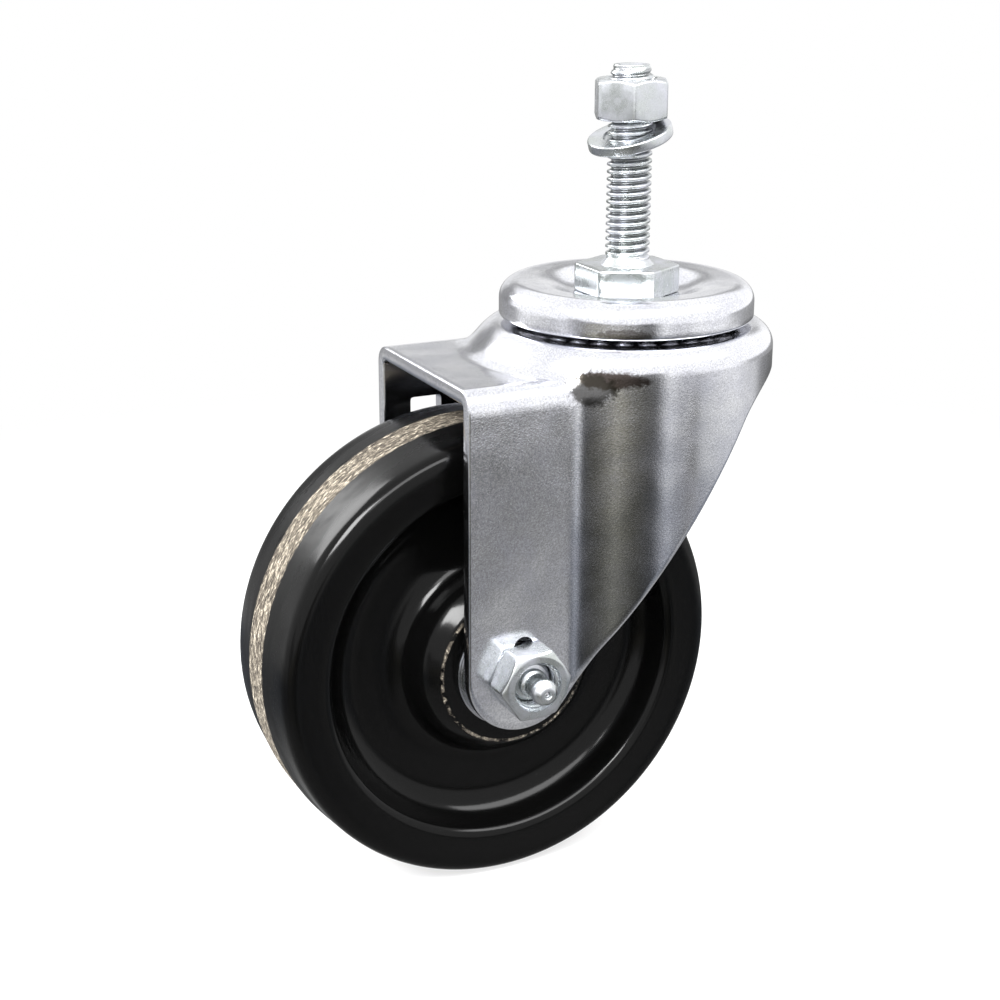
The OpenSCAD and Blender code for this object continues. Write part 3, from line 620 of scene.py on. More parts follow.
class CASTOR_OT_stem(Operator):
    """Make the threaded stem with its hex shoulder and the kingpin under it"""
    bl_idname = "castor.stem"
    bl_label = "Stem"

    def execute(self, context):
        s, columns = sizes("stem"), sizes("studio").columns
        angle = round_angles(columns)
        start, first, neck_rows, thread_rows = -0.4, 1.6, 9, 500
        z = np.concatenate([np.linspace(start, first, neck_rows)[:-1],
                            np.linspace(first, s.height - 0.02, thread_rows)])[:, None]
        # radius: neck with a flare at its foot, then crests less the groove, under the tip's taper
        crest, flare, flare_h = s.crest_d / 2, 1.25, 0.75
        run_in, run_out, chamfer, slope = 1.8, 3.2, 1.0, 0.36
        neck = s.neck_d / 2 + flare * np.exp(-np.maximum(z, 0) / flare_h)
        into = np.clip((z - s.neck_h + run_in / 2) / run_in, 0, 1)
        out = np.clip((s.height - z) / run_out, 0, 1)
        taper = np.minimum(crest, crest - chamfer + (s.height - z) * slope)
        thread = taper - s.depth * thread_groove(z, angle, s.pitch) * into * out
        r = np.minimum(neck * (1 - into) + into * crest, thread)
        r = np.where(z < s.neck_h - run_in / 2, neck, r)
        # the tip's face is sunk a little inside its rim
        top, tip_r = s.height, float(r[-1].min()) - 0.05
        tip = turned([(tip_r - 0.15, top), (tip_r - 0.45, top - 0.05), (tip_r - 1.1, top - 0.35),
                      (tip_r - 1.6, top - 0.42), (0, top - 0.42)], columns)
        foot = turned([(crest - 1, start), (0, start)], columns)
        thread_shell = (np.concatenate([foot[::-1], polar(r, angle, z), tip]), True, False)
        # the hex shoulder, with a flat side towards +X
        foot_z = -s.hex_h + 0.02
        hexagon = hex_columns(s.hex_af, 0.0, columns, [
            (0, 0), (5.4, 0), (0.93, 0), (1, 0), (1, -s.hex_h / 2), (1, foot_z), (0.7, foot_z), (0, foot_z)],
            [0, 0, 0.3, 0.45, 0.3, 0.5, 0.2, 0])
        # the kingpin and the domed head that is peened over under the lower race
        king, king_z, peen_z = s.kingpin_d / 2, -s.hex_h + 0.5, s.peen_z
        peen = turned(eased([(0, king_z), (king, king_z), (king, peen_z), (8.8, peen_z), (9.0, peen_z - 0.9),
                             (6.2, peen_z - 2.6), (3.2, peen_z - 3.15), (0, peen_z - 3.2)],
                            [0, 0.2, 0, 0.3, 1.1, 2.2, 1.6, 0]), columns)
        piece("threaded_stem", [thread_shell, (hexagon, True, False), (peen, True, False)],
              stem_zinc(), "stem_unit", "stem_bolt", soften=(s.crest_d / 2 + 0.1, 0.3))
        return {"FINISHED"}


def hex_nut(across, height, bore, turn, columns, pitch, bottom):
    """Chamfered hex nut: a cone cuts the hexagon's side at each end, z = (r - face radius) times the
    chamfer's tangent, and the bore carries a thread that fades into a countersink at both mouths."""
    face_share, depth, sink, fade_h, row = 0.955, 0.35, 0.6, 0.7, 0.14
    face_r, mouth = across / 2 * face_share, bore + 0.55

    def base(r):
        return np.maximum(r - face_r, 0) * math.tan(CHAMFER)

    def top(r):
        return height - base(r)

    outside = hex_columns(across, turn, columns, [
        (mouth, 0), (face_r, 0), (1, base), (1, height / 2), (1, top), (face_r, height), (mouth, height)],
        [0, 0.35, 0.4, 1.0, 0.4, 0.35, 0])
    angle = round_angles(columns)
    z = np.linspace(height - sink, sink, int(height / row))[:, None]
    fade = np.clip(np.minimum(z - sink, height - sink - z) / fade_h, 0, 1)
    r = bore + 0.08 - depth * fade * (1 - thread_groove(z + bottom, angle, pitch)) + 0.3 * (1 - fade)
    return np.concatenate([outside, polar(r, angle, z)])


class CASTOR_OT_stem_nut(Operator):
    """Make the hex nut near the top of the stem and the split washer that hangs under it"""
    bl_idname = "castor.stem_nut"
    bl_label = "Stem nut and washer"

    def execute(self, context):
        s, stem, columns = sizes("nut"), sizes("stem"), sizes("studio").columns
        bore, turn = stem.crest_d / 2 + 0.1, math.radians(37)
        shell = hex_nut(s.af, s.height, bore, turn, columns, stem.pitch, s.bottom)
        shell[..., 2] += s.bottom
        piece("hex_nut", [(shell, True, True)], stem_zinc(), "nut_unit", "stem_nut")

        # washer: a rounded square wire carried round a circle, its two ends a little apart
        out_r, in_r, half = s.washer_d / 2, s.washer_bore / 2, s.washer_t / 2
        loop = [(out_r, 0), (out_r, half), (in_r, half), (in_r, -half), (out_r, -half), (out_r, 0)]
        wire = eased(loop, [0, 0.4, 0.4, 0.4, 0.4, 0], 5)[:-1]
        split, gap, count, spring = math.radians(250), 0.08, 150, 1.2
        angle = split + np.linspace(gap, 2 * math.pi - gap, count)[:, None]
        lift = (np.linspace(-0.5, 0.5, count) ** 3)[:, None] * spring
        ring = polar(wire[:, 0], angle, wire[:, 1] + lift)
        middle = ring.mean(axis=1, keepdims=True)
        ring = np.concatenate([middle[:1] + 0 * ring[:1], ring, middle[-1:] + 0 * ring[-1:]])
        # leant about Y, turned about Z until its low side is where it should be, and lifted into place
        leant = Matrix.Rotation(s.low, 3, "Z") @ Matrix.Rotation(s.lean, 3, "Y")
        ring = ring @ np.array(leant).T + np.array([0, 0, s.washer_z])
        piece("split_washer", [(ring, True, False)], stem_zinc(), "washer_unit", "lock_washer",
              sharp=50)
        return {"FINISHED"}


def cap_profile(s):
    """The cap's half section: outer face over the raised ring, round the skirt's lip and back inside."""
    angle = np.radians(np.linspace(90, 0, 14))[:, None]
    around = np.concatenate([np.cos(angle), np.sin(angle)], axis=1)
    centre = np.array([s.cap_r - s.roll, s.crest_z - s.roll])
    outer = centre + s.roll * around
    inner = centre + (s.roll - s.sheet) * around
    low, over = s.crest_z - s.roll - s.skirt, s.crest_z - s.roll - 0.2
    lip = eased([(s.cap_r, over), (s.cap_r, low), (s.cap_r - s.sheet, low), (s.cap_r - s.sheet, over)],
                [0, 0.7, 0.5, 0], 5)
    bore, low_crest, low_seat = 6.1, s.crest_z - s.sheet, s.seat_z - s.sheet
    dish = eased([(bore, s.seat_z), (s.seat_r - 0.2, s.seat_z), (s.dish_r, s.crest_z - 0.3), tuple(outer[0])],
                 [0, 2.0, 2.4, 0], 6)
    under = eased([tuple(inner[0]), (s.dish_r + 0.6, low_crest), (s.seat_r + 0.6, low_seat),
                   (bore, low_seat)], [0, 1.0, 1.2, 0], 4)
    return thinned(np.concatenate([dish[:-1], outer, lip, inner[::-1], under[1:]]), 1.2)


class CASTOR_OT_cap(Operator):
    """Make the dished cap over the swivel balls and the race under them"""
    bl_idname = "castor.cap"
    bl_label = "Swivel cap and race"

    def execute(self, context):
        s, columns = sizes("swivel"), sizes("studio").columns
        piece("swivel_cap", [(turned(cap_profile(s), 2 * columns), True, True)],
              sheet_zinc(), "stem_unit", "top_cap")
        low, floor, rim, bore = s.race_z, s.race_z + 2.5, s.race_z + 5.0, 6.05
        section = eased([(bore, low), (s.race_r, low), (s.race_r, rim), (s.race_r - 2.0, rim),
                         (s.race_r - 2.25, floor), (bore, floor)], [0, 2.2, 0.5, 0.5, 1.8, 0], 5)
        piece("kingpin_race", [(turned(section, columns), True, True)],
              sheet_zinc(), "stem_unit", "lower_race")
        return {"FINISHED"}


def fork_field(x, y, z, s):
    """Signed distance to the fork's filled outer form: a channel with rounded folds and a round
    crown with a rolled shoulder, joined by max(k, min(a, b)) - sqrt(max(k-a, 0)^2 + max(k-b, 0)^2),
    which leaves a drawn blend of radius k where the two meet."""
    # the blend is wider by the extra near the web's top, and as it was at the legs
    half, extra, rise, fade = s.width / 2, 2.4, 5, 6
    high = np.clip((z - s.web_z + rise) / rise, 0, 1) * np.clip((half - 1 - np.abs(y)) / fade, 0, 1)
    k = s.blend + extra * smooth(high)

    def rounded(u, v, r):
        return np.hypot(np.maximum(u, 0), np.maximum(v, 0)) + np.minimum(np.maximum(u, v), 0) - r

    channel = np.maximum(rounded(np.abs(y) - half + s.fold_r, z - s.web_z + s.fold_r, s.fold_r), x)
    crown = rounded(np.hypot(x, y) - s.crown_r + s.crown_roll, z - s.crown_z + s.crown_roll, s.crown_roll)
    return (np.maximum(k, np.minimum(channel, crown))
            - np.hypot(np.maximum(k - channel, 0), np.maximum(k - crown, 0)))


def cast(origin, direction, reach, s):
    """First point along each ray where the fork's field turns positive, by halving the stretch."""
    low, halvings = 0 * (origin + direction)[..., 0], 34
    high = low + reach
    for _ in range(halvings):
        middle = (low + high) / 2
        at = origin + middle[..., None] * direction
        outside = fork_field(at[..., 0], at[..., 1], at[..., 2], s) > 0
        high = np.where(outside, middle, high)
        low = np.where(outside, low, middle)
    return origin + ((low + high) / 2)[..., None] * direction


def fork_lower_edge(x, s, a):
    """Height of the sheet's lower edge at a place along X: a half circle at the foot, then the
    sloping rear edge, a hollow sweep and the level rear skirt."""
    e = s.edge
    slope, foot = math.tan(s.slope), s.foot_r - e
    circle = -a.drop - np.sqrt(np.maximum(foot ** 2 - (x + a.trail) ** 2, 0))
    touch = -a.trail + foot * math.sin(s.slope)
    level = s.skirt_z + e
    line = -a.drop - foot * math.cos(s.slope) + (x - touch) * slope
    r = s.sweep_r - e
    elbow = touch + (level + a.drop + foot * math.cos(s.slope)) / slope
    end = elbow + r * math.tan(s.slope / 2)
    start = elbow - r * math.tan(s.slope / 2) * math.cos(s.slope)
    sweep = level - r + np.sqrt(np.maximum(r ** 2 - (x - end) ** 2, 0))
    return np.where(x < touch, circle, np.where(x < start, line, np.where(x < end, sweep, level)))


def fork_outline(s, a):
    """Plan of the fork's wall from the near front edge round the rear to the far front edge: straight
    leg, hollow draw curve, crown circle. Returns points and outward directions."""
    half, r, rho = s.width / 2, s.crown_r, 12.0
    foot_rows, leg_rows, draw_rows, crown_rows = 26, 16, 11, 96
    cx = -math.sqrt((r + rho) ** 2 - (half + rho) ** 2)
    turn = math.acos((half + rho) / (r + rho))
    # the places lie close together where the foot's half circle is steep
    steep = np.linspace(0, math.radians(78), foot_rows)
    x = -a.trail - (s.foot_r - s.edge) * np.cos(steep)
    x = np.concatenate([x, np.linspace(x[-1], cx, leg_rows)[1:]])
    x[0] = s.front_x + s.edge
    line = np.stack([x, np.full_like(x, -half)], axis=1)
    line_n = np.stack([0 * x, -1 + 0 * x], axis=1)
    t = np.linspace(0, turn, draw_rows)[1:]
    curve = np.stack([cx + rho * np.sin(t), -half - rho + rho * np.cos(t)], axis=1)
    curve_n = np.stack([-np.sin(t), -np.cos(t)], axis=1)
    begin = math.atan2(curve[-1, 1], curve[-1, 0])
    t = np.linspace(begin, 0, crown_rows)[1:]
    arc_n = np.stack([np.cos(t), np.sin(t)], axis=1)
    near = np.concatenate([line, curve, r * arc_n])
    near_n = np.concatenate([line_n, curve_n, arc_n])
    flip = np.array([1, -1])
    return np.concatenate([near, (near * flip)[-2::-1]]), np.concatenate([near_n, (near_n * flip)[-2::-1]])


def sheet_normals(points, closed):
    """Unit normals of a grid by the cross product of its two central differences."""
    if closed:
        wrapped = np.concatenate([points[:, -1:], points, points[:, :1]], axis=1)
        across = (wrapped[:, 2:] - wrapped[:, :-2]) / 2
    else:
        across = np.gradient(points, axis=1)
    return unit(np.cross(across, np.gradient(points, axis=0)))


def rim_strip(edge, normal, thickness, e):
    """Rounded cut edge of a sheet round a closed boundary: from the outer face out by e, across the
    thickness and back to the inner face, in the plane of the boundary's outward and normal directions."""
    outward = unit(np.cross(normal, np.roll(edge, -1, axis=0) - np.roll(edge, 1, axis=0)))
    q = np.linspace(0, math.pi / 2, 4)
    go = np.concatenate([np.sin(q), np.sin(q[::-1])]) * e
    down = np.concatenate([e - e * np.cos(q), thickness - e + e * np.cos(q[::-1])])
    return edge + go[:, None, None] * outward - down[:, None, None] * normal


class CASTOR_OT_fork(Operator):
    """Make the pressed fork with its drawn crown, web and legs"""
    bl_idname = "castor.fork"
    bl_label = "Fork"

    def execute(self, context):
        s, a = sizes("fork"), sizes("axle")
        plan, plan_n = fork_outline(s, a)
        count = len(plan)
        root = plan - s.fold_r * plan_n
        # the fold's centre climbs from the web's height to the crown's along the draw curve
        climb_x, climb_run = -28, 9
        climb = smooth((plan[:, 0] - climb_x) / climb_run)
        fold_z = (s.web_z - s.fold_r) * (1 - climb) + (s.crown_z - s.crown_roll) * climb
        low_z = fork_lower_edge(plan[:, 0], s, a)
        low_z[[0, -1]] = -a.drop
        wall_rows, fold_rows, front_rows, top_rows, reach = 46, 12, 42, 34, 12.0
        rows = np.linspace(0, 1, wall_rows) ** 0.9
        wall_z = low_z[None] + rows[:, None] * (fold_z - low_z)[None]
        wall = cast(raised(root, wall_z), raised(plan_n, 0), reach, s)
        tilt = np.linspace(0, math.pi / 2, fold_rows)[1:][:, None, None]
        fold = cast(raised(root, fold_z), raised(np.cos(tilt) * plan_n, np.sin(tilt[..., 0])), reach, s)
        side = np.concatenate([wall, fold])

        # top: rays straight up between the fold's inner line, the web's front edge and the raceway
        front = np.linspace(root[-1], root[0], front_rows)[1:-1]
        front[:, 0] = s.front_x + s.edge
        ring = np.concatenate([root, front])
        around = unit(ring)
        flat_r = s.crown_r - s.crown_roll
        part = (1 - (1 - np.linspace(0, 1, top_rows)) ** 1.35)[:, None, None]
        plan_top = ring * (1 - part) + flat_r * around * part
        inside_z, upwards, rise = -24.0, np.array([0, 0, 1.0]), 16.0
        outer_top = cast(raised(plan_top, inside_z), upwards, rise, s)
        # raceway: from the crown's rolled shoulder over a low step to the inner plateau and its hole
        step_z = -10.85
        race = thinned(eased([(flat_r, s.crown_z), (25.5, s.crown_z), (22.8, step_z), (20.9, step_z),
                              (20.0, s.plateau_z), (s.hole_r + s.edge, s.plateau_z)],
                             [0, 1.4, 1.6, 0.8, 0.8, 0]), 1.4)[1:]
        top = np.concatenate([outer_top, raised(race[:, :1, None] * around, race[:, 1:])])
        top[0, :count] = side[-1]

        side_n, top_n = sheet_normals(side, False), sheet_normals(top, True)
        side_n[-1] = top_n[0, :count] = unit(side_n[-1] + top_n[0, :count])
        side_in, top_in = side - s.sheet * side_n, top - s.sheet * top_n

        # the sheet's cut edges: down the far leg, along the lower edge, up the near leg, across the web
        edge = np.concatenate([side[::-1, -1], side[0, -2:0:-1], side[:, 0], top[0, count:][::-1]])
        edge_n = np.concatenate([side_n[::-1, -1], side_n[0, -2:0:-1], side_n[:, 0], top_n[0, count:][::-1]])
        rim = rim_strip(edge, edge_n, s.sheet, s.edge)
        hole = rim_strip(top[-1], top_n[-1], s.sheet, s.edge)
        patches = [(side, False, False), (side_in, False, False), (top, True, False),
                   (top_in, True, False), (rim, True, False), (hole, True, False)]
        fork = piece("pressed_fork", patches, sheet_zinc(), "fork_unit", "fork", FORK_SHARP)
        cut_openings(fork, s, a)
        return {"FINISHED"}


def through_leg(x, z, y):
    """Closed cutter whose outline (x, z) goes through the leg at y, from well inside to well outside."""
    rows = [np.stack([x, np.full_like(x, y + d), z], axis=-1) for d in (-4, 4)]
    middles = [row.mean(axis=0, keepdims=True) + 0 * row for row in rows]
    return np.stack([middles[0], *rows, middles[1]]), True, False


def cut_openings(fork, s, a):
    """Cuts the axle holes with their notches and the far leg's window out of the fork. A hole is a
    circle with a narrower round-topped notch over it."""
    y, r = s.width / 2 - s.sheet / 2, a.bolt_d / 2 + s.hole_gap
    begin = math.asin(s.key_r / r)
    round_part = np.linspace(math.pi / 2 + begin, math.pi * 2.5 - begin, 60)
    cap_part = np.linspace(0, math.pi, 20)
    x = np.concatenate([r * np.cos(round_part), s.key_r * np.cos(cap_part)])
    z = np.concatenate([r * np.sin(round_part), s.key_top - s.key_r + s.key_r * np.sin(cap_part)])
    cutters = [through_leg(x - a.trail, z - a.drop, side * y) for side in (-1, 1)]
    left, right = s.front_x + s.window_x, s.front_x + s.window_x + s.window_w
    low, high, corner = s.window_low, s.window_high, 0.8
    window = eased([(left + 3, low), (right, low), (right, high), (left, high), (left, low), (left + 3, low)],
                   [0, corner, corner, corner, corner, 0])[:-1]
    cutters.append(through_leg(window[:, 0], window[:, 1], y))
    cutter = bpy.data.objects.new("cutter", build_mesh("cutter", cutters))
    bpy.context.scene.collection.objects.link(cutter)
    modifier = fork.modifiers.new("openings", "BOOLEAN")
    modifier.operation, modifier.solver, modifier.object = "DIFFERENCE", "EXACT", cutter
    bpy.context.view_layer.update()
    graph = bpy.context.evaluated_depsgraph_get()
    cut = bpy.data.meshes.new_from_object(fork.evaluated_get(graph))
    fork.modifiers.clear()
    fork.data = cut
    shade(cut, FORK_SHARP)
    bpy.data.objects.remove(cutter)


class CASTOR_OT_axle(Operator):
    """Make the axle bolt, its nut and the grease fitting"""
    bl_idname = "castor.axle"
    bl_label = "Axle, nut and fitting"

    def execute(self, context):
        a, fork, columns = sizes("axle"), sizes("fork"), sizes("studio").columns
        leg, pitch, nut_turn, head_turn = fork.width / 2, sizes("stem").pitch, 26, 30
        shell = hex_nut(a.af, a.nut_h, a.bolt_d / 2 + 0.1, math.radians(nut_turn), columns, pitch, 0.0)
        shell[..., 2] -= leg + a.nut_h
        piece("axle_hex_nut", [(along_axle(shell, a), True, True)],
              stem_zinc(), "fork_unit", "axle_nut")

        # the bolt's thread fades over its chamfered end and again inside the leg
        end, depth, fade_h, chamfer = -leg - a.nut_h + a.recess, 0.85, 0.8, 0.5
        angle, core = round_angles(columns), a.bolt_d / 2 - 0.05
        z = np.linspace(end + 0.3, -leg + 2, 60)[:, None]
        fade = np.clip((z - end - 0.2) / fade_h, 0, 1)
        groove = depth * thread_groove(z, angle, pitch) * np.clip((-leg + 1.5 - z) / fade_h, 0, 1)
        thread = polar(a.bolt_d / 2 - 0.02 - groove - chamfer * (1 - fade), angle, z)
        face = turned([(0, end), (core - 1.0, end), (core - 0.75, end + 0.1)], columns)
        shank = turned([(core, -leg + 2.2), (core, leg - 0.1), (0, leg - 0.1)], columns)
        over, face_r = leg + a.head_h, 6.8
        head = hex_columns(a.af, math.radians(head_turn), columns, [
            (0, leg), (6.6, leg), (1, leg + 0.02), (1, leg + a.head_h / 2),
            (1, lambda r: over - np.maximum(r - face_r, 0) * 0.5), (face_r, over), (0, over)],
            [0, 0, 0.25, 1, 0.4, 0.4, 0])
        shaft = np.concatenate([face, thread, shank])
        piece("axle_hex_bolt", [(along_axle(part, a), True, False) for part in (shaft, head)],
              stem_zinc(), "fork_unit", "axle_bolt")

        top, f = end - a.fitting_l, a.fitting_d / 2
        # from the ball's hole over the rounded head and the waist to the collar on the bolt's end
        profile = eased([(0, top + 0.9), (0.62, top + 0.75), (0.72, top + 0.1), (0.95, top),
                         (1.7, top + 0.02), (f, top + 1.25), (f, top + 2.7), (f - 0.55, top + 3.3),
                         (f - 0.45, end - 1.5), (f + 0.15, end - 1.1), (f + 0.3, end - 0.9),
                         (f + 0.3, end - 0.02), (0, end - 0.02)],
                        [0, 0.1, 0.12, 0.1, 0.4, 0.6, 0.5, 0.5, 0.3, 0.2, 0.2, 0.1, 0], 5)
        piece("grease_nipple", [(along_axle(turned(profile, 96), a), True, False)],
              stem_zinc(), "fork_unit", "grease_fitting")
        return {"FINISHED"}


def wheel_profile(s):
    """Half section of the wheel from its bore over hub, web, wall and tread, and back on the near side."""
    face, web, tread = s.width / 2, s.web_w / 2, s.diameter / 2
    ring = tread - s.drop - s.shoulder - s.ring_w
    seat, end = s.hub_l / 2 - s.disc_t, s.hub_l / 2
    half = [(s.bore_r, seat), (s.disc_r, seat), (s.disc_r, end), (s.hub_r, end),
            (s.hub_r + s.bevel, end - s.bevel), (s.hub_r + s.draft, web), (ring - s.wall_run, web),
            (ring, face), (tread - s.drop, face), (tread, s.band / 2)]
    soft = [0, 0, 0.2, 0.8, 2.6, 5.2, 4.0, 1.5, 3.0, 0.3]
    points = [(s.bore_r, 0)] + half + [(r, -z) for r, z in half[::-1]] + [(s.bore_r, 0)]
    return thinned(eased(points, [0] + soft + soft[::-1] + [0], 8), 1.6)[:-1]


class CASTOR_OT_wheel(Operator):
    """Make the moulded wheel"""
    bl_idname = "castor.wheel"
    bl_label = "Wheel"

    def execute(self, context):
        s, a, columns = sizes("wheel"), sizes("axle"), sizes("studio").columns
        shell = along_axle(turned(wheel_profile(s), 2 * columns), a)
        # triangular mould mark on the near web: a closed outline raised a little over it
        corner = np.radians([90, 210, 330, 90])
        mark_r, mark_x, mark_z = 1.25, -66.2, -76.4
        line = thinned(np.stack([np.cos(corner), np.sin(corner)], axis=1) * mark_r, 0.2)[:-1]
        rows = [np.stack([line[:, 0] * k, 0 * line[:, 0] + y, line[:, 1] * k], axis=-1)
                for k, y in ((1.0, 0.15), (1.0, -0.12), (0.7, -0.12), (0.7, 0.15))]
        mark = np.stack(rows) + np.array([mark_x, -s.web_w / 2, mark_z])
        material = finish_named("Moulded black phenolic", moulded_phenolic, s, a)
        piece("moulded_wheel", [(shell, True, True), (mark, True, True)], material, "wheel_unit", "wheel")
        return {"FINISHED"}


class CASTOR_OT_inner(Operator):
    """Give the balls, rollers, races, bushing and thrust washers their finish"""
    bl_idname = "castor.inner"
    bl_label = "Bearing parts"

    def execute(self, context):
        steel = finish_named("Ground bearing steel", ground_steel)
        of_steel = ("upper_balls", "lower_balls", "check_ball", "axle_bushing", "bearing_race", "roller_cage",
                    "bearing_rollers", "near_hub_disc", "far_hub_disc")
        of_zinc = ("near_thrust_washer", "far_thrust_washer")
        for name in of_steel + of_zinc:
            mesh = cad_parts[name].data
            mesh.materials.clear()
            mesh.materials.append(steel if name in of_steel else stem_zinc())
        return {"FINISHED"}


class CASTOR_OT_studio(Operator):
    """Set the floor, the light and the camera"""
    bl_idname = "castor.studio"
    bl_label = "Studio"

    def execute(self, context):
        scene, s = context.scene, sizes("studio")
        self.floor(scene, s)
        self.world(scene)
        self.lamps(scene)
        self.camera(scene, s)
        scene.view_settings.view_transform = "Standard"
        return {"FINISHED"}

    def floor(self, scene, s):
        """Level ground as a grid of points, large enough for every view."""
        half, count = 2500, 9
        x, y = np.meshgrid(*[np.linspace(-half, half, count)] * 2)
        mesh = build_mesh("floor", [(np.stack([x, y, 0 * x + s.floor_z], axis=-1), False, False)])
        # a flat grid's faces come out facing down
        mesh.flip_normals()
        # white paper: seen directly it stays as white as the backdrop, and keeps a soft shadow
        material, add = new_material("Studio paper")
        paper = add("BsdfDiffuse", {"Color": (*scene.castor_finishes.floor, 1)})
        glow = add("Emission", {"Strength": 1.0, "Color": grey(1.0)})
        ray = add("LightPath").node.outputs
        at = add("TexCoord", out="Object")
        far = add("VectorMath", {0: at}, operation="LENGTH")
        fade = add("MapRange", {"Value": far, "From Min": 0.16, "From Max": 0.42, "To Min": 0.72},
                   interpolation_type="SMOOTHSTEP")
        share = add("Math", {0: ray["Is Camera Ray"], 1: fade}, operation="MULTIPLY")
        seen = add("MixShader", {0: share, 1: paper, 2: glow})
        clear = add("BsdfTransparent")
        both = add("MixShader", {0: ray["Is Glossy Ray"], 1: seen, 2: clear})
        add("OutputMaterial", {"Surface": both})
        mesh.materials.append(material)
        floor = bpy.data.objects.new("studio_floor", mesh)
        scene.collection.objects.link(floor)

    def world(self, scene):
        """White to the eye. What the metal mirrors is a bright studio over a darker floor line: a low
        belt, a belt just over it and the open sky, each with its own levels round the compass."""
        world = bpy.data.worlds.new("Studio room")
        scene.world = world
        world.use_nodes = True
        world.node_tree.nodes.clear()
        add = partial(add_node, world.node_tree)
        way = add("TexCoord", out="Generated")
        x, y, tall = add("SeparateXYZ", {"Vector": way}).node.outputs
        turn = add("Math", {0: y, 1: x}, operation="ARCTAN2")
        turn = add("MapRange", {"Value": turn, "From Min": -math.pi, "From Max": math.pi})
        height = add("MapRange", {"Value": tall, "From Min": -0.5, "From Max": 0.5})

        def share(source, *stretches):
            """Share that climbs from 0 to 1 over each (start, end) stretch; two of them make a window."""
            made = [add("MapRange", {"Value": source, "From Min": start, "From Max": end},
                        interpolation_type="SMOOTHSTEP") for start, end in stretches]
            return made[0] if len(made) == 1 else add("Math", dict(enumerate(made)), operation="MULTIPLY")

        low = add("ValToRGB", {"Fac": turn}, stops=levels(LOW_BELT))
        dim = add("ValToRGB", {"Fac": height}, stops=levels(LOW_HEIGHTS))
        low = add("Mix", {"Factor": 1.0, "A": low, "B": dim}, data_type="RGBA", blend_type="MULTIPLY")
        # what the flat near leg mirrors: a dim belt whose upper edge climbs to the right
        lean = add("MapRange", {"Value": turn, "From Min": 0.3194, "From Max": 0.334, "To Max": 0.085})
        leg = add("Math", {0: height, 1: lean}, operation="SUBTRACT")
        leg = add("ValToRGB", {"Fac": leg}, stops=levels(LEG_HEIGHTS))
        facing = share(turn, (0.303, 0.313), (0.345, 0.331))
        low = add("Mix", {"Factor": facing, "A": low, "B": leg}, data_type="RGBA")
        rim = add("ValToRGB", {"Fac": turn}, stops=levels(RIM_BELT))
        # the sky has one dim window behind the castor
        behind = share(turn, (0.6, 0.64), (0.76, 0.72))
        over = share(tall, (0.22, 0.26), (0.42, 0.36))
        dark = add("Math", {0: behind, 1: over}, operation="MULTIPLY")
        sky = add("Mix", {"Factor": dark, "A": grey(1.35 / ROOM_TOP), "B": grey(0.62 / ROOM_TOP)},
                  data_type="RGBA")
        # low over the horizon the wall behind is a little dimmer, and dark where the tread's far side looks
        hazy = add("ValToRGB", {"Fac": turn}, stops=levels(HAZE_BELT))
        hazy = add("Mix", {"Factor": share(tall, (0.36, 0.46)), "A": hazy, "B": grey(1.0)}, data_type="RGBA")
        sky = add("Mix", {"Factor": 1.0, "A": sky, "B": hazy}, data_type="RGBA", blend_type="MULTIPLY")
        room = add("Mix", {"Factor": share(tall, (-0.24, -0.215)), "A": low, "B": rim}, data_type="RGBA")
        # over the front the sky starts lower, and on the left of that it starts higher, which shades
        # one flat of the stem's nut
        front = share(turn, (0.085, 0.12), (0.225, 0.19))
        raised = add("Math", {0: front, 1: 0.1, 2: tall}, operation="MULTIPLY_ADD")
        shaded = share(turn, (0.012, 0.028), (0.07, 0.05))
        raised = add("Math", {0: shaded, 1: -0.11, 2: raised}, operation="MULTIPLY_ADD")
        room = add("Mix", {"Factor": share(raised, (-0.108, -0.05)), "A": room, "B": sky}, data_type="RGBA")
        below = share(tall, (-0.45, -0.6))
        room = add("Mix", {"Factor": below, "A": room, "B": grey(0.42 / ROOM_TOP)}, data_type="RGBA")
        lit = add("Background", {"Color": room, "Strength": ROOM_TOP})
        seen = add("Background", {"Color": grey(1.0), "Strength": 1.0})
        ray = add("LightPath").node.outputs
        both = add("MixShader", {0: ray["Is Camera Ray"], 1: lit, 2: seen})
        add("OutputWorld", {"Surface": both})

    def lamps(self, scene):
        """Three soft boxes: a long one over the front, a small one on the left and a dim one behind."""
        for name, turn, lift, wide, tall, power in LAMPS:
            lamp = bpy.data.lights.new(name, "AREA")
            lamp.shape, lamp.size, lamp.size_y, lamp.energy = "RECTANGLE", wide, tall, power
            box = bpy.data.objects.new(name, lamp)
            scene.collection.objects.link(box)
            box.visible_camera = False
            box.matrix_world = looking(math.radians(turn), math.radians(lift), LAMP_AWAY, MIDDLE)

    def camera(self, scene, s):
        """Camera at the place that was fitted to the photo."""
        data = bpy.data.cameras.new("studio camera")
        data.sensor_width, data.lens = 36.0, s.focal
        data.clip_start, data.clip_end = 0.01, 20.0
        camera = bpy.data.objects.new("studio_camera", data)
        scene.collection.objects.link(camera)
        camera.matrix_world = looking(s.azimuth - math.pi / 2, s.elevation, s.distance * MM, TARGET, s.roll)
        scene.camera = camera


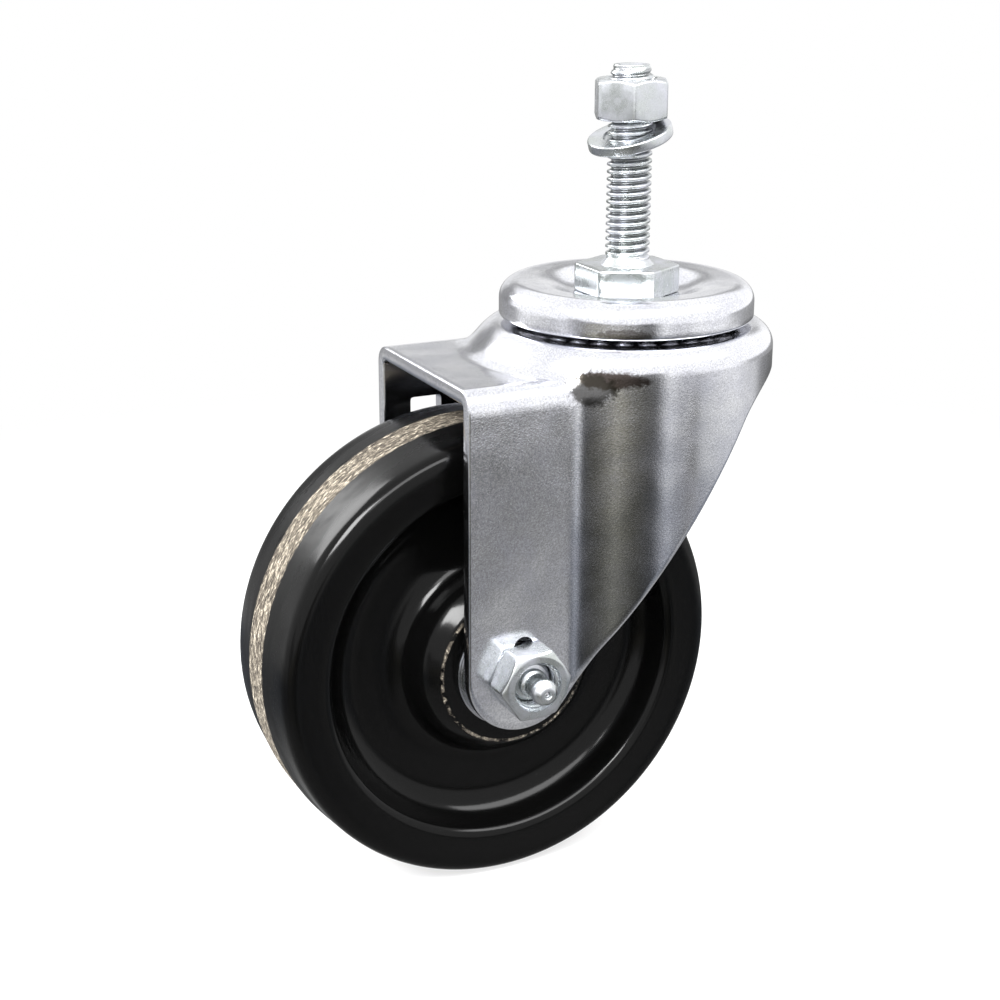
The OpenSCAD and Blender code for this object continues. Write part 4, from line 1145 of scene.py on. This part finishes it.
def looking(turn, lift, away, target, roll=0.0):
    """Matrix of something that looks at a target from a distance away in the direction
    (cos t cos l, sin t cos l, sin l), turned about its line of sight by the roll."""
    back = np.array([math.cos(turn) * math.cos(lift), math.sin(turn) * math.cos(lift), math.sin(lift)])
    right = unit(np.cross([0, 0, 1], back))
    up = np.cross(back, right)
    right, up = right * math.cos(roll) + up * math.sin(roll), up * math.cos(roll) - right * math.sin(roll)
    return Matrix([(*right, 0), (*up, 0), (*back, 0), (*(target + back * away), 1)]).transposed()


class CASTOR_PT_panel(Panel):
    """Sizes, finishes and steps of the castor"""
    bl_idname = "CASTOR_PT_panel"
    bl_label = "Threaded stem castor"
    bl_space_type = "VIEW_3D"
    bl_region_type = "UI"
    bl_category = "Castor"

    def draw(self, context):
        for step in STEPS:
            self.layout.operator(step.bl_idname)
        for name, _ in GROUPS:
            box = self.layout.box()
            group = getattr(context.scene, name)
            box.label(text=name.split("_")[1].capitalize())
            for key in group.bl_rna.properties.keys():
                if key not in {"rna_type", "name"}:
                    box.prop(group, key)


GROUPS = (("castor_stem", StemSizes), ("castor_nut", NutSizes), ("castor_swivel", SwivelSizes),
          ("castor_fork", ForkSizes), ("castor_axle", AxleSizes), ("castor_wheel", WheelSizes),
          ("castor_finishes", Finishes), ("castor_studio", StudioSizes))
STEPS = (CASTOR_OT_stem, CASTOR_OT_stem_nut, CASTOR_OT_cap, CASTOR_OT_fork, CASTOR_OT_axle, CASTOR_OT_wheel,
         CASTOR_OT_inner, CASTOR_OT_studio)


def register():
    """Registers the classes and puts each group of sizes on the scene."""
    for name, group in GROUPS:
        bpy.utils.register_class(group)
        setattr(bpy.types.Scene, name, PointerProperty(type=group))
    for step in (*STEPS, CASTOR_PT_panel):
        bpy.utils.register_class(step)


def unregister():
    """Takes the classes and the groups of sizes away again."""
    for step in (CASTOR_PT_panel, *reversed(STEPS)):
        bpy.utils.unregister_class(step)
    for name, group in reversed(GROUPS):
        delattr(bpy.types.Scene, name)
        bpy.utils.unregister_class(group)


def main():
    register()
    for step in STEPS:
        group, name = step.bl_idname.split(".")
        getattr(getattr(bpy.ops, group), name)()


if __name__ == "__main__":
    main()
